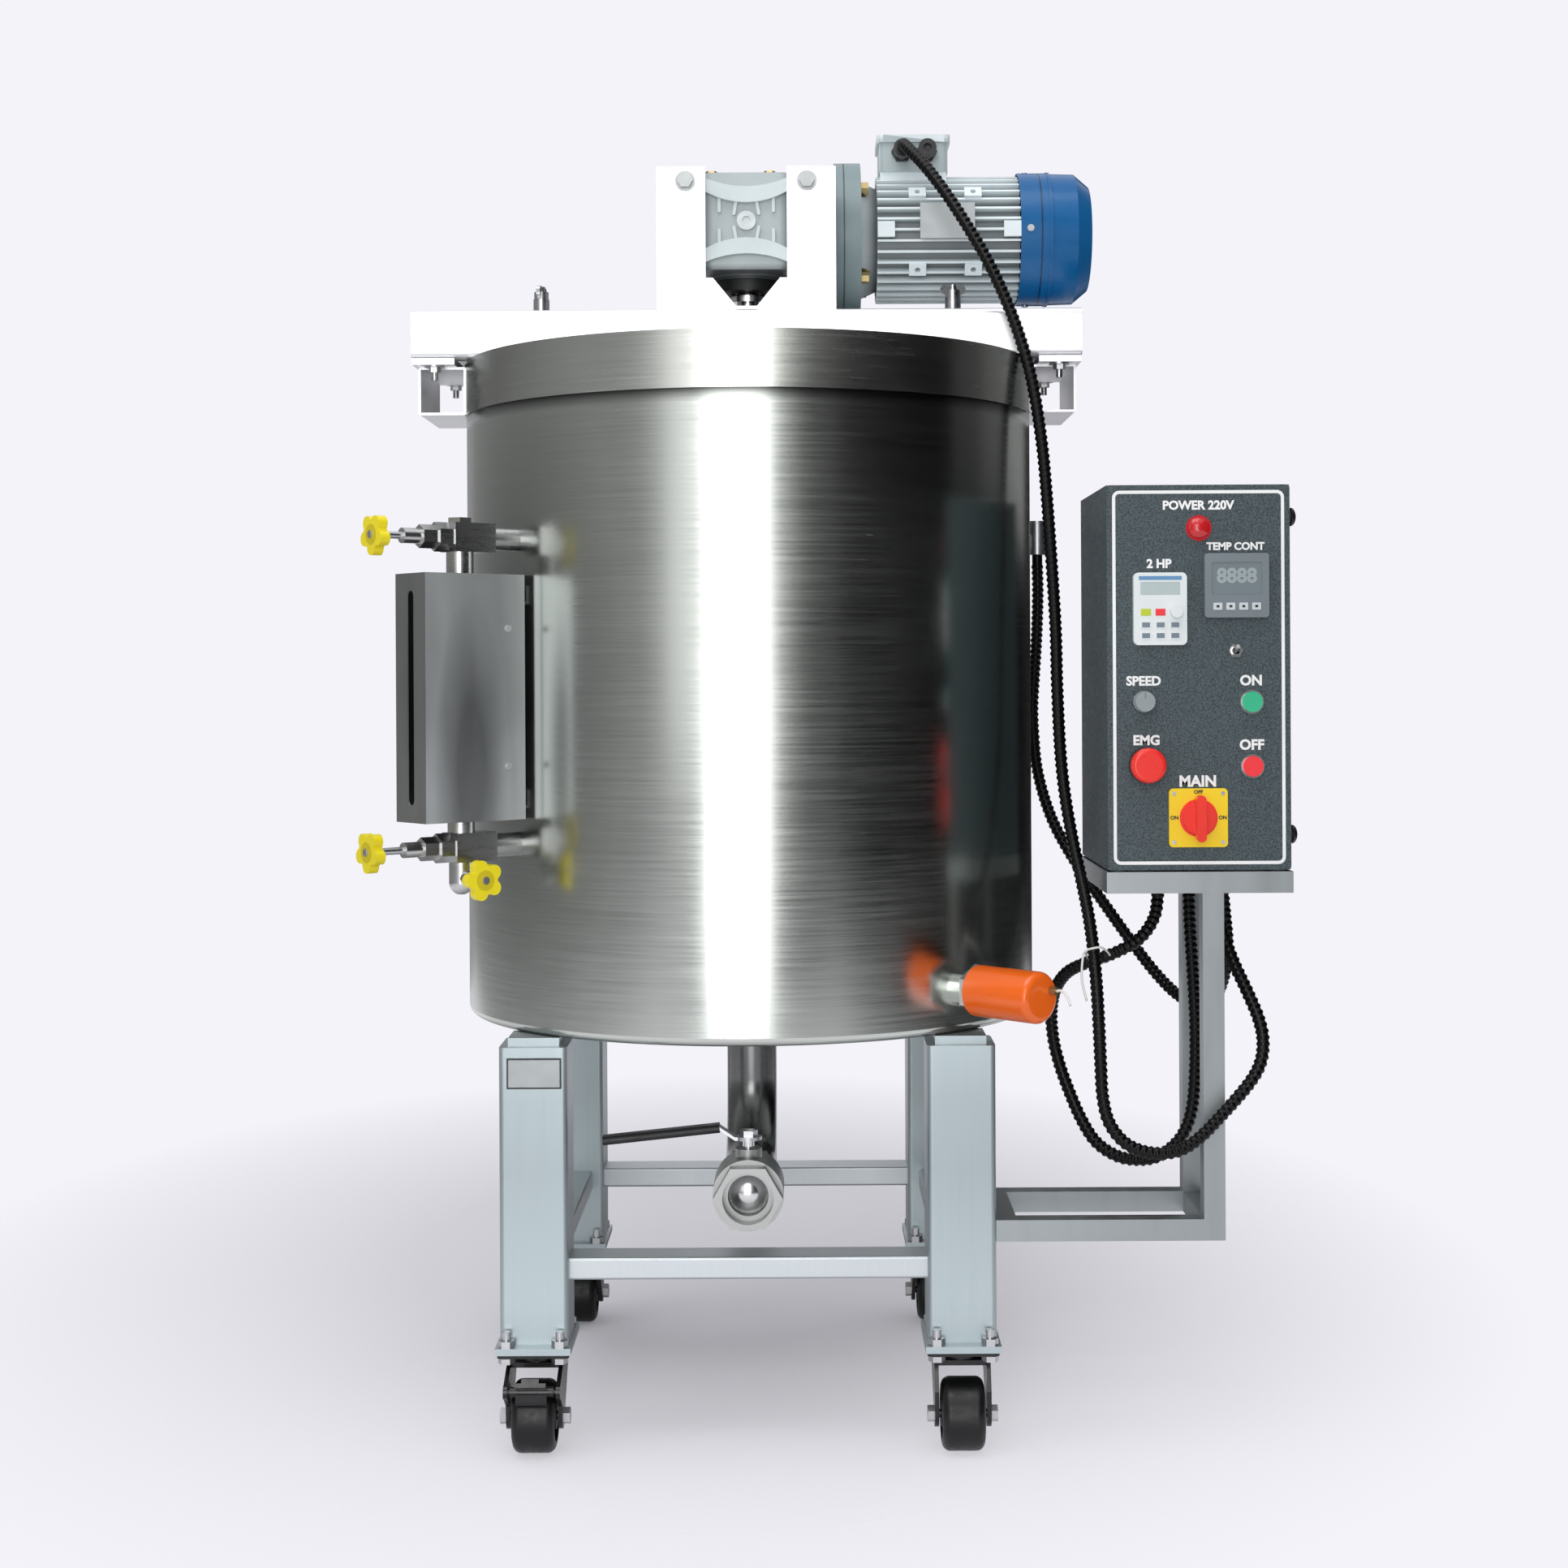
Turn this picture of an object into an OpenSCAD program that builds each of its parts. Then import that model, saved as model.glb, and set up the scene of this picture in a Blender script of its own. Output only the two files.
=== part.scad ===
// Chocolate melting tank: a water-jacketed vessel on a wheeled frame, stirred from above by a
// geared motor, with a level gauge, an immersion heater, a bottom drain and a control box.
// Millimetres. The origin is on the floor under the tank's axis; +Z is up and -Y is the front.

/* [Tank] */
// Outer radius of the steel jacket
jacket_r = 360; // [340:1:380]
// Sheet thickness of the jacket
jacket_wall = 3; // [2:0.5:4]
// Height of the jacket's underside above the floor
tank_z = 484; // [475:1:500]
// Height of the jacket from its underside to its rim
jacket_h = 816; // [780:1:860]
// Radius of the rolled edge under the jacket
knuckle_r = 10; // [8:1:40]
// Width of the water space round the inner vessel
water_gap = 47; // [37:1:57]
// Sheet thickness of the vessel
vessel_wall = 4; // [2:0.5:5]
// Depth of the water under the vessel's lowest point
sump_h = 73; // [70:1:80]
// Rise of the vessel's dished bottom
dish_h = 60; // [50:1:70]

/* [Lid] */
// Sheet thickness of the lid
lid_wall = 2; // [1.5:0.5:3]
// Height of the skirt that hangs over the jacket
skirt_h = 67; // [50:1:80]
// Depth of the half-moon filling flap from its hinge to its round edge
flap_depth = 167.5; // [150:0.5:167.5]
// Distance from the flap's round edge to the jacket's side
flap_margin = 20; // [15:1:30]

/* [Base frame] */
// Side of the square leg tube
leg_w = 80; // [70:1:85]
// Wall of the leg tube
leg_wall = 3; // [2:0.5:5]
// Distance from the leg axes to the jacket's side, both ways
leg_inset = 110; // [105:1:120]
// Depth of the rails seen from above
rail_w = 50; // [40:1:60]
// Height of the rails
rail_h = 26; // [20:1:32]
// Height of the rails' underside above the floor
rail_z = 199; // [180:1:215]

/* [Casters] */
// Height of a caster, floor to top of its plate
caster_h = 120; // [118:1:130]
// Radius of the wheels
wheel_r = 42; // [38:1:44]
// Width of the wheels
wheel_w = 50; // [40:1:52]
// Distance from the swivel axis to the wheel axle
trail = 28; // [24:1:32]

/* [Cross beam] */
// Reach of the beam past the jacket at each end
beam_reach = 58; // [53:1:65]
// Depth of the beam, front to back
beam_w = 210; // [200:1:220]
// Height of the beam
beam_h = 60; // [50:1:70]
// Sheet thickness of the beam
beam_wall = 4; // [3:0.5:6]

/* [Gearbox and motor] */
// Height of the gearbox axis above the beam
gear_rise = 114; // [112:1:120]
// Distance from the output shaft to the worm shaft
gear_centres = 63; // [63:0.5:66]
// Radius of the motor's round flange
flange_r = 100; // [95:1:104]
// Radius over the motor's cooling fins
fin_r = 82; // [78:1:84]
// Length of the finned motor body
motor_l = 184; // [170:1:190]
// Length of the fan cowl
cowl_l = 93; // [85:1:100]
// Radius of the stirrer shaft
shaft_r = 14; // [12:0.5:15]

/* [Level gauge] */
// Direction of the gauge seen from above, from the right-hand side round to the back
gauge_angle = 220; // [215:1:225]
// Distance from the jacket's side to the glass
gauge_reach = 75; // [70:1:85]
// Height of the lower valve above the jacket's underside
gauge_low_h = 224; // [215:1:235]
// Distance between the two valves
gauge_span = 362; // [340:1:380]
// Width of the glass cover
cover_w = 66; // [60:1:76]
// Radius of the star hand wheels
star_r = 24; // [20:1:26]

/* [Heater] */
// Direction of the heater seen from above
heater_angle = 314; // [310:1:318]
// Height of the heater above the jacket's underside
heater_h = 53; // [50:1:54]
// Radius of the heater's cap
cap_r = 30; // [29:1:34]
// Length of the heater's cap
cap_l = 96; // [80:1:110]

/* [Drain] */
// Outer radius of the drain pipe
pipe_r = 31.75; // [30:0.25:33]
// Wall of the drain pipe
pipe_wall = 3; // [2:0.5:4]
// Radius of the elbow's centre line
elbow_r = 95; // [80:1:100]
// Height of the valve's axis above the floor
drain_z = 295; // [285:1:305]
// Distance from the tank's axis to the ball's centre
valve_y = 232; // [225:1:240]
// Radius of the ball
ball_r = 33; // [31:0.5:34]
// Gap between the lever's end and the leg
lever_gap = 40; // [30:1:60]

/* [Control stand] */
// Side of the stand's square tube
tube_w = 25; // [20:1:28]
// Wall of the stand's tube
tube_wall = 2; // [1.5:0.5:3]
// Height of the arms' underside above the floor
arm_z = 244; // [235:1:260]
// Gap between the jacket's side and the control box
box_gap = 63; // [58:1:70]
// Height of the tray's underside above the floor
tray_z = 650; // [640:1:660]

/* [Control box] */
// Width of the box
box_w = 214; // [208:1:222]
// Depth of the box with its door
box_d = 247; // [235:1:255]
// Height of the box
box_h = 450; // [430:1:480]
// Sheet thickness of the box
box_wall = 1.5; // [1:0.25:2.5]
// Thickness of the door
door_t = 3; // [2:0.5:4]

/* [Panel controls] */
// Radius of the emergency stop's head
stop_r = 20.5; // [18:0.5:22]
// Radius of the push buttons' bezels
bezel_r = 14; // [13:0.5:16]
// Side of the main switch plate
switch_w = 68.5; // [62:0.5:72]
// Side of the temperature controller's front
controller_w = 75; // [70:1:76]
// Width of the drive keypad
keypad_w = 62; // [56:1:66]
// Height of the drive keypad
keypad_h = 84.5; // [78:0.5:90]

/* [Conduits] */
// Radius over the conduits' ribs
conduit_r = 8; // [7:0.5:8]
// Depth of the ribs
rib_depth = 1.2; // [0.6:0.1:1.5]
// Radius of the conduits' bore
conduit_bore_r = 5.4; // [4:0.1:5.6]

/* [Hidden] */
$fn = 64;
// Overrun of cuts, running fit of shafts and the air between moving faces
over = 1;
fit = 0.05;
air = 0.3;

// Tank and lid
rim_z = tank_z + jacket_h;
vessel_z = tank_z + jacket_wall + sump_h;
jacket_in_r = jacket_r - jacket_wall;
vessel_r = jacket_in_r - water_gap;
rim_t = 3;
arc_steps = 8;
lid_gap = 0.5;
lid_r = jacket_r + lid_gap + lid_wall;
lid_z = rim_z + lid_wall;
lid_notch_gap = 4;
shaft_hole_gap = 8;
mouth_margin = 20;
mouth_ledge = 14;
flap_r = jacket_r - flap_margin;
flap_y = flap_r - flap_depth;
mouth_y = flap_y + mouth_ledge;
flap_t = 2;
flap_z = lid_z + air;
hinge_r = 6;
hinge_pin_r = 4;
hinge_z = flap_z + flap_t + hinge_r + air;
hinge_x = 150;
hinge_barrel_l = 36;
hinge_ear_l = 10;
hinge_leaf_l = 40;
handle_r = 5;
handle_w = 110;
handle_h = 28;
handle_margin = 48;
handle_y = flap_r - handle_margin;

// Legs and rails
leg_edge_r = 6;
pad_w = 60;
pad_h = 10;
foot_w = 88;
foot_d = 116;
foot_t = 8;
rail_wall = 2;
leg_z = caster_h + foot_t;
leg_top = tank_z - pad_h;
leg_at = jacket_r - leg_inset;
leg_pitch = 2 * leg_at;
leg_cap_t = 4;

// Casters
plate_t = 4;
plate_margin = 2;
foot_bolt_x = 31;
foot_bolt_y = 49;
fork_gap = 3;
fork_t = 5;
crown_r = 27;
crown_d = 58;
crown_t = 6;
race_h = 18;
crown_z = caster_h - plate_t - race_h;
race_top = caster_h - plate_t - air;
kingpin_r = 6;
kingpin_head_r = 10;
kingpin_head_t = 5;
axle_r = 5;
axle_boss_r = 15;
axle_nut_af = 17;
axle_nut_t = 8;
tread_round = 10;
wheel_hub_r = 15;
wheel_rim_r = 30;
wheel_recess = 12;
fork_in = wheel_w / 2 + fork_gap;
fork_out = fork_in + fork_t;
pedal_ahead = 36;
pedal_y = trail + pedal_ahead;
pedal_above = 38;
pedal_z = wheel_r + pedal_above;
pedal_pin_r = 3;
pedal_barrel_r = 6;
pedal_ear_r = 8;
pedal_w = 36;
pedal_l = 26;
pedal_t = 5;
pedal_tilt = 25;
pedal_shoe_y = 6;
pedal_shoe_z = 9;
pedal_shoe_r = 5;
pedal_tab_w = 20;
pedal_tab_h = 6;

// Fasteners
m8_r = 4;
m8_af = 13;
m8_head_t = 5.5;
m8_nut_t = 6.5;
m10_r = 5;
m10_af = 17;
m10_head_t = 6.5;
m10_nut_t = 8;
bolt_gap = 0.25;
thread_end = 10;
washer_r = 12.5;
washer_t = 2;

// Beam, brackets and lid studs
bracket_t = 8;
bracket_z = rim_z - bracket_t / 2;
stub_wall = 3;
stub_l = 158;
stub_h = 60;
stub_bite = 7;
bracket_gap = 1;
bracket_in = lid_r + lid_gap + bracket_gap;
bracket_lip = 4;
beam_l = 2 * (jacket_r + beam_reach);
bracket_out = beam_l / 2 - bracket_gap;
stub_out = bracket_out - bracket_lip;
stub_in = jacket_r - stub_bite;
stub_w = stub_out - stub_in;
beam_z = bracket_z + bracket_t;
beam_top = beam_z + beam_h;
beam_bend_r = 8;
beam_lip = 30;
beam_bolt_x = (bracket_in + bracket_out) / 2;
beam_bolt_inset = 13;
beam_bolt_y = beam_w / 2 - beam_bolt_inset;
stud_x = 260;
stud_y = 60;
spacer_r = 10;
spacer_h = 19;
wing_boss_r = 9;
wing_boss_h = 9;
wing_span = 32;
wing_h = 16;
wing_t = 5;
wing_r = 6;
stud_top = beam_top + spacer_h + wing_h;
beam_hole_gap = 12;

// Gearbox bracket
upright_w = 61;
bracket_w = 224;
upright_h = 179;
upright_t = 8;
upright_return = 50;
bracket_front = 95;
bracket_base_t = 6;
bracket_base_d = 150;
sill_h = 40;
vee_top = 84;
vee_bottom = 22;
vee_z = 2;
bracket_bolt_x = 76;
bracket_bolt_z = 47;

// Gearbox housing, measured from the gearbox axis
gear_z = beam_top + gear_rise;
case_front = bracket_front - upright_t;
case_w = 112;
case_back = 40;
case_h = 134;
case_round = 14;
face_recess = 9;
pad_in_r = 103;
pad_out_r = 130;
pad_arc_half = 52;
pad_out = 42;
pad_in = 22;
pad_half_w = 95;
pad_lug_low = 36;
pad_lug_high = 58;
rib_w = 4;
rib_x = 34;
rib_l = 22;
rib_slant = 10;
rib_slant_x = 14;
rib_out = 5;
plug_r = 12;
plug_t = 5;
plug_socket_r = 5;
cover_r = 50;
cover_t = 6;
wheel_chamber_r = 54;
wheel_chamber_h = 76;
worm_chamber_r = 19;
worm_tube_r = 40;
worm_tube_l = 74;
worm_far = 60;
flange_x = 112;
flange_t = 12;
flange_rib_t = 8;
flange_rib_w = 150;
hub_r = 20;
hub_low = 78;
wheel_face = 24;
worm_r = 15;
wheel_gap = 0.5;
worm_l = 90;
top_plug_x = [-45, 29];
top_plug_y = 40;
top_plug_af = 13;
top_plug_t = 9;
collar_r = 24;
collar_t = 8;
collar_z = 92;

// Motor, measured along its axis
motor_flange_t = 22;
shield_l = 21;
motor_x = flange_x + flange_t;
shield_x = motor_x + motor_flange_t;
body_x = shield_x + shield_l;
body_end = body_x + motor_l;
core_r = 70;
shield_r = 66;
fin_t = 3;
fin_count = 36;
stator_r = 46;
rotor_gap = 1;
journal_r = 12;
journal_end_r = 10;
rear_shield_t = 11;
boss_l = 22;
boss_w = 16;
boss_x_shares = [0.28, 0.67];
boss_angles = [-126, -54, 54, 126];
boss_out = 4;
boss_hole_r = 3.5;
boss_hole_l = 10;
mid_boss_w = 20;
flange_nut_af = 13;
flange_nut_t = 10;
flange_nut_pcd = 165;
pad_x = 172;
pad_l = 86;
pad_d = 78;
terminal_gap = 1;
terminal_x = body_x + terminal_gap;
terminal_w = 95;
terminal_d = 90;
terminal_h = 38;
terminal_lid_t = 10;
terminal_lip = 3;
terminal_round = 8;
terminal_z = gear_z + fin_r;
gland_x = [32, 64];
gland_z = 25;
gland_hex_af = 24;
gland_hex_t = 8;
gland_r = 11.5;
cowl_r = 86;
cowl_wall = 2;
cowl_step = 37;
cowl_bead = 4;
cowl_shoulder = 19;
cowl_end_r = 68;
cowl_slots = 24;
cowl_slot_w = 5;
cowl_ring_in = 16;
cowl_ring_out = 62;
cowl_ring_mid = 38;
cowl_ring_w = 5;
fan_r = 74;
fan_hub_r = 22;
fan_x = 32;
fan_l = 28;
fan_blades = 8;
fan_blade_t = 3;
rotor_in = 18;

// Stirrer
stirrer_gap = 22;
stirrer_bar = 40;
stirrer_t = 8;
stirrer_low_h = 76;
stirrer_h = 510;

// Level gauge, measured from the glass axis
gauge_axis_r = jacket_r + gauge_reach;
gauge_low_z = tank_z + gauge_low_h;
gauge_high_z = gauge_low_z + gauge_span;
nipple_r = 14;
nipple_in = 6;
block_w = 34;
block_back = 39;
block_front = 16;
bonnet_af = 30;
bonnet_l = 19;
gland_nut_af = 24;
gland_nut_l = 20;
gland_neck_r = 9;
gland_neck_l = 23;
spindle_r = 4.2;
high_spindle_l = 24;
low_spindle_l = 32;
spindle_in = 15;
packing_end = block_front + bonnet_l + gland_nut_l + gland_neck_l;
star_lobes = 5;
star_lobe_r = 8.5;
star_core_r = 17;
star_t = 12;
star_hub_r = 7;
star_hub_l = 4;
plug_top_r = 13;
plug_top_h = 6;
seal_nut_r = 16;
low_seal_h = 14;
high_seal_h = 26;
glass_r = 8;
glass_wall = 2;
glass_in = 4;
cock_r = 14.5;
cock_l = 39;
cock_wheel_drop = 36;
cock_neck_l = 30;
cock_spindle_l = 6;
cock_bore_r = 5;
cover_back = 54;
cover_front = 67;
cover_t_sheet = 1.5;
cover_low_gap = 14;
cover_high_gap = 26;
slot_w = 14;
slot_margin = 20;
lap_w = 18;
lap_back = 69;
clip_w = 40;
clip_h = 22;
clip_t = 3;
clip_end = 12;
cover_screw_r = 4;
cover_screw_t = 2;
cover_screw_share = 0.22;

// Heater
heater_z = tank_z + heater_h;
socket_r = 21;
socket_l = 24;
socket_in = 6;
plug_thread_r = 16;
heater_hex_af = 53;
heater_hex_t = 7;
element_r = 5;
element_y = 9;
element_in = 130;
cap_wall = 4;
cap_round = 8;
terminal_stub_r = 9;
terminal_stub_l = 60;
wire_gland_af = 9;
wire_gland_l = 9;
wire_gland_offset = 15;
heater_cap_end = jacket_r + socket_l + heater_hex_t + cap_l;

// Drain
valve_half_l = 53;
valve_body_r = 42;
valve_body_half = 34;
valve_hex_af = 71;
mouth_r = 30;
mouth_l = 19;
pipe_socket_l = 24;
port_r = 24;
ball_fit = 0.1;
bonnet_r = 16;
bonnet_top = 50;
stem_r = 7;
stem_top = 72;
stem_nut_af = 19;
stem_nut_t = 7;
lever_l = leg_at - leg_w / 2 - lever_gap;
lever_z = 60;
lever_t = 4;
lever_w = 20;
lever_bend = 34;
lever_lift = 12;
lever_droop = 14;
sleeve_w = 24;
sleeve_h = 10;
sleeve_wall = 3;
lever_hub_r = 16;

// Control stand and tray
box_overhang = 110;
box_x = jacket_r + box_gap;
post_x = box_x + box_overhang;
arm_inset = 5;
arm_y = -leg_at - leg_w / 2 + arm_inset;
arm_spread = 150;
rear_arm_y = arm_y + arm_spread;
arm_x = leg_at + leg_w / 2;
tray_wall = 3;
tray_margin = 2;
tray_h = 25;

// Control box and door
box_y = arm_y;
box_foot = 2;
box_foot_r = 10;
box_foot_inset = 14;
box_z = tray_z + tray_h + box_foot;
door_gap = air;
box_front = box_y + door_t + door_gap;
box_back = box_y + box_d;
box_lip = 8;
door_edge_r = 4;
side_plug_r = 11;
side_plug_t = 6;
side_plug_neck_r = 6.5;
side_plug_neck = 5;
side_plug_in = 20;
side_plug_shares = [0.089, 0.918];
plate_inset = 12;
mount_plate_t = 2;
mount_plate_off = 6;
drive_w = 110;
drive_h = 160;
drive_d = 110;
drive_shares = [0.24, 0.4];
relay_w = 45;
relay_h = 75;
relay_d = 80;
relay_shares = [0.2, 0.1];
rail_block_w = 80;
rail_block_h = 45;
rail_block_d = 50;
rail_block_shares = [0.54, 0.1];

// Panel places, as shares of the door's width and height
lamp_shares = [0.5, 0.887];
controller_shares = [0.703, 0.738];
keypad_shares = [0.285, 0.678];
toggle_shares = [0.699, 0.569];
speed_shares = [0.198, 0.438];
on_shares = [0.785, 0.436];
off_shares = [0.787, 0.269];
stop_shares = [0.212, 0.273];
main_shares = [0.491, 0.136];
barrel_r = 11;
barrel_l = 40;
bezel_t = 5;
button_r = 9.8;
button_out = 9;
button_in = 12;
button_cap_r = 12;
button_cap_t = 4;
bezel_floor = 0.5;
button_travel = 4;
lamp_r = 15;
lamp_ring_t = 4;
lamp_dome_r = 13;
lamp_dome_h = 8;
stop_ring_r = 21;
stop_ring_t = 3;
stop_neck_r = 9.8;
stop_head_t = 13;
stop_gap = 7;
stop_round = 5;
controller_t = 9;
controller_body_w = 67;
controller_depth = 55;
controller_edge_r = 4;
controller_window_w = 59;
controller_window_h = 38;
controller_window_drop = 8;
controller_window_t = 1;
keypad_t = 10;
keypad_edge_r = 6;
keypad_depth = 12;
keypad_body_margin = 8;
keypad_screen_w = 46;
keypad_screen_h = 15;
keypad_screen_shares = [0.5, 0.78];
keypad_recess = 0.8;
key_w = 12;
key_h = 9;
key_t = 1;
key_pitch_x = 17;
key_pitch_y = 12.5;
key_low_share = 0.13;
keypad_knob_r = 7;
keypad_knob_t = 8;
keypad_knob_shares = [0.79, 0.46];
keypad_axle_r = 3;
toggle_nut_r = 7.5;
toggle_nut_t = 4;
toggle_bush_r = 5.4;
toggle_bush_l = 9;
toggle_bore_r = 4.2;
toggle_pin_r = 1;
toggle_ball_r = 3.2;
toggle_lever_r = 1.8;
toggle_tip_r = 2.6;
toggle_lever_l = 20;
toggle_tilt = 12;
speed_knob_r = 11.5;
speed_knob_t = 14;
speed_skirt_r = 12.5;
speed_skirt_t = 3;
speed_axle_r = 3;
speed_mark_w = 1.5;
switch_t = 4;
switch_edge_r = 5;
switch_hub_r = 19;
switch_hub_t = 10;
switch_ring_r = 22;
switch_ring_t = 2;
switch_grip_l = 54;
switch_grip_w = 11;
switch_grip_t = 14;
switch_axle_r = 5;

// Temperature probe head behind the tank
probe_angle = 10;
probe_h = 596;
probe_z = tank_z + probe_h;
probe_r = 6;
probe_in = 60;
probe_head_r = 13;
probe_head_l = 44;
probe_head_z = 16;

// Conduit glands under the box, and the conduits' routes
box_gland_t = 22;
motor_gland_l = 31;
motor_end_x = 137;
motor_end_y = 70;
heater_start_x = 72;
heater_start_y = 95;
heater_end_x = 112;
heater_end_y = 110;
probe_end_x = 167;
probe_end_y = 185;
probe_head_at = jacket_r + 2 * probe_head_r + over - probe_head_r / 4;
gland_face = gear_centres - terminal_d / 2 + terminal_lip;
conduit_top = box_z - box_gland_t;
motor_start = [terminal_x + gland_x[0], gland_face - motor_gland_l, terminal_z + gland_z];
motor_end = [box_x + motor_end_x, box_y + motor_end_y, conduit_top];
heater_start = [box_x + heater_start_x, box_y + heater_start_y, conduit_top];
heater_end = [box_x + heater_end_x, box_y + heater_end_y, conduit_top];
probe_start = [probe_head_at * cos(probe_angle), probe_head_at * sin(probe_angle), probe_z - probe_head_z];
probe_end = [box_x + probe_end_x, box_y + probe_end_y, conduit_top];

// Routes, with X from the jacket's side
motor_route = [
  [-160, -10, 1585], [-160, -27, 1585], [-155, -56, 1573], [-134, -87, 1542], [-110, -107, 1504],
  [-86, -120, 1463], [-62, -128, 1419], [-41, -133, 1372], [-23, -136, 1322], [-9, -139, 1270],
  [1, -140, 1208], [8, -140, 1139], [18, -142, 979], [20, -145, 889], [23, -150, 810],
  [28, -157, 755], [36, -168, 701], [44, -184, 656], [50, -204, 614], [53, -225, 574],
  [54, -245, 534], [54, -263, 492], [54, -277, 450], [55, -287, 412], [62, -294, 383],
  [80, -300, 361], [107, -304, 351], [137, -307, 353], [163, -308, 368], [193, -307, 398],
  [223, -301, 430], [238, -293, 453], [243, -283, 478], [240, -271, 502], [230, -256, 531],
  [217, -240, 564], [206, -226, 600], [201, -217, 628], [200, -215, 640], [200, -215, 655]
];
heater_route = [
  [135, -190, 655], [135, -190, 638], [130, -193, 612], [112, -199, 588], [82, -201, 571],
  [52, -190, 559], [28, -166, 543], [16, -140, 518], [13, -124, 487], [16, -121, 453],
  [23, -130, 422], [33, -146, 392], [45, -161, 363], [61, -173, 338], [84, -182, 323],
  [108, -188, 319], [132, -191, 323], [154, -192, 338], [168, -191, 358], [176, -189, 386],
  [180, -186, 430], [181, -183, 480], [179, -179, 540], [176, -176, 600], [175, -175, 638],
  [175, -175, 655]
];
probe_route = [
  [18, 67, 1064], [18, 67, 1047], [19, 71, 1018], [19, 80, 980], [18, 89, 941], [16, 95, 902],
  [14, 97, 862], [15, 94, 823], [18, 87, 784], [26, 78, 746], [38, 66, 710], [55, 55, 676],
  [75, 45, 643], [97, 37, 611], [119, 31, 579], [141, 24, 548], [163, 11, 519], [185, -11, 496],
  [206, -40, 486], [223, -71, 497], [232, -94, 528], [235, -103, 568], [232, -103, 609],
  [230, -100, 638], [230, -100, 655]
];
motor_ribs = 100;
heater_ribs = 44;
probe_ribs = 48;
conduit_sides = 8;
route_steps = 6;
ease = 6;
bore_step = 4;

// Colours of the finishes
steel = [0.74, 0.75, 0.76];
light_steel = [0.82, 0.84, 0.86];
cast_grey = [0.66, 0.69, 0.71];
black = [0.08, 0.08, 0.09];
brass = [0.72, 0.60, 0.32];
blue = [0.11, 0.37, 0.60];
orange = [0.93, 0.36, 0.08];
yellow = [0.95, 0.88, 0.08];
dark_grey = [0.27, 0.30, 0.32];
red = [0.85, 0.18, 0.16];
green = [0.18, 0.66, 0.48];
white = [0.92, 0.93, 0.93];
glass_tint = [0.80, 0.90, 0.92, 0.5];

// Points of a round stretch about a centre
function arc(at, r, from, to, steps = arc_steps) =
  [for (i = [0 : steps]) let (a = from + (to - from) * i / steps) at + r * [cos(a), sin(a)]];

// Height of a dished bottom at a distance from the axis
function dish(r, edge_r, rise) =
  let (ball = (edge_r * edge_r + rise * rise) / (2 * rise)) ball - sqrt(ball * ball - r * r);

// Radius over the corners of a hexagon
function hex_r(af) = af / sqrt(3);

// Route beside the jacket, eased over at both ends to start and stop in its glands
function laid(route, start, end) =
  let (
    side = [jacket_r, 0, 0],
    last = len(route) - 1,
    at_start = start - side - route[0],
    at_end = end - side - route[last]
  )
  [for (i = [0 : last]) side + route[i] + at_start * pow(1 - i / last, ease) + at_end * pow(i / last, ease)];

// Panel place from its shares of the door
function panel_at(shares) = [box_x + box_w * shares[0], box_y, box_z + box_h * shares[1]];

module rounded_rect(w, h, r) {
  square([w - 2 * r, h], center = true);
  square([w, h - 2 * r], center = true);
  for (x = [-1, 1], y = [-1, 1])
    translate([x * (w / 2 - r), y * (h / 2 - r)])
      circle(r = r);
}

module rounded_tube(w, h, r, wall) {
  difference() {
    rounded_rect(w, h, r);
    square([w - 2 * wall, h - 2 * wall], center = true);
  }
}

module hex_prism(af, h) {
  cylinder(r = hex_r(af), h = h, $fn = 6);
}

// Hexagon bolt with its head up at zero, its nut below and washers under both
module bolt_and_nut(r, af, head_t, nut_t, grip) {
  hex_prism(af, head_t);
  translate([0, 0, -grip - nut_t - thread_end])
    cylinder(r = r, h = grip + nut_t + thread_end + over);
  translate([0, 0, -grip - nut_t])
    hex_prism(af, nut_t);
}

// Places a piece on the panel with its axis out of the door
module on_panel(shares) {
  translate(panel_at(shares))
    rotate([90, 0, 0])
      children();
}

// Lays the axis of a piece along +X
module along_x() {
  rotate([0, 90, 0])
    children();
}

// Lays a profile along +X, its own axes along Y and Z
module swept_x(l) {
  rotate([90, 0, 90])
    linear_extrude(l)
      children();
}

module swept_y(l) {
  rotate([90, 0, 180])
    linear_extrude(l)
      children();
}

module at_legs() {
  for (x = [-leg_at, leg_at], y = [-leg_at, leg_at])
    translate([x, y, 0])
      children();
}

// Frame of the level gauge: +X away from the tank, origin on the glass axis
module at_gauge() {
  rotate([0, 0, gauge_angle])
    translate([gauge_axis_r, 0, 0])
      children();
}

// Frame of the heater: axis out of the tank, zero at the tank's axis
module at_heater() {
  rotate([0, 0, heater_angle])
    translate([0, 0, heater_z])
      along_x()
        children();
}

// Frame of the motor: axis along +X at the worm shaft, zero at the output shaft
module at_motor() {
  translate([0, gear_centres, gear_z])
    along_x()
      children();
}

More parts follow.
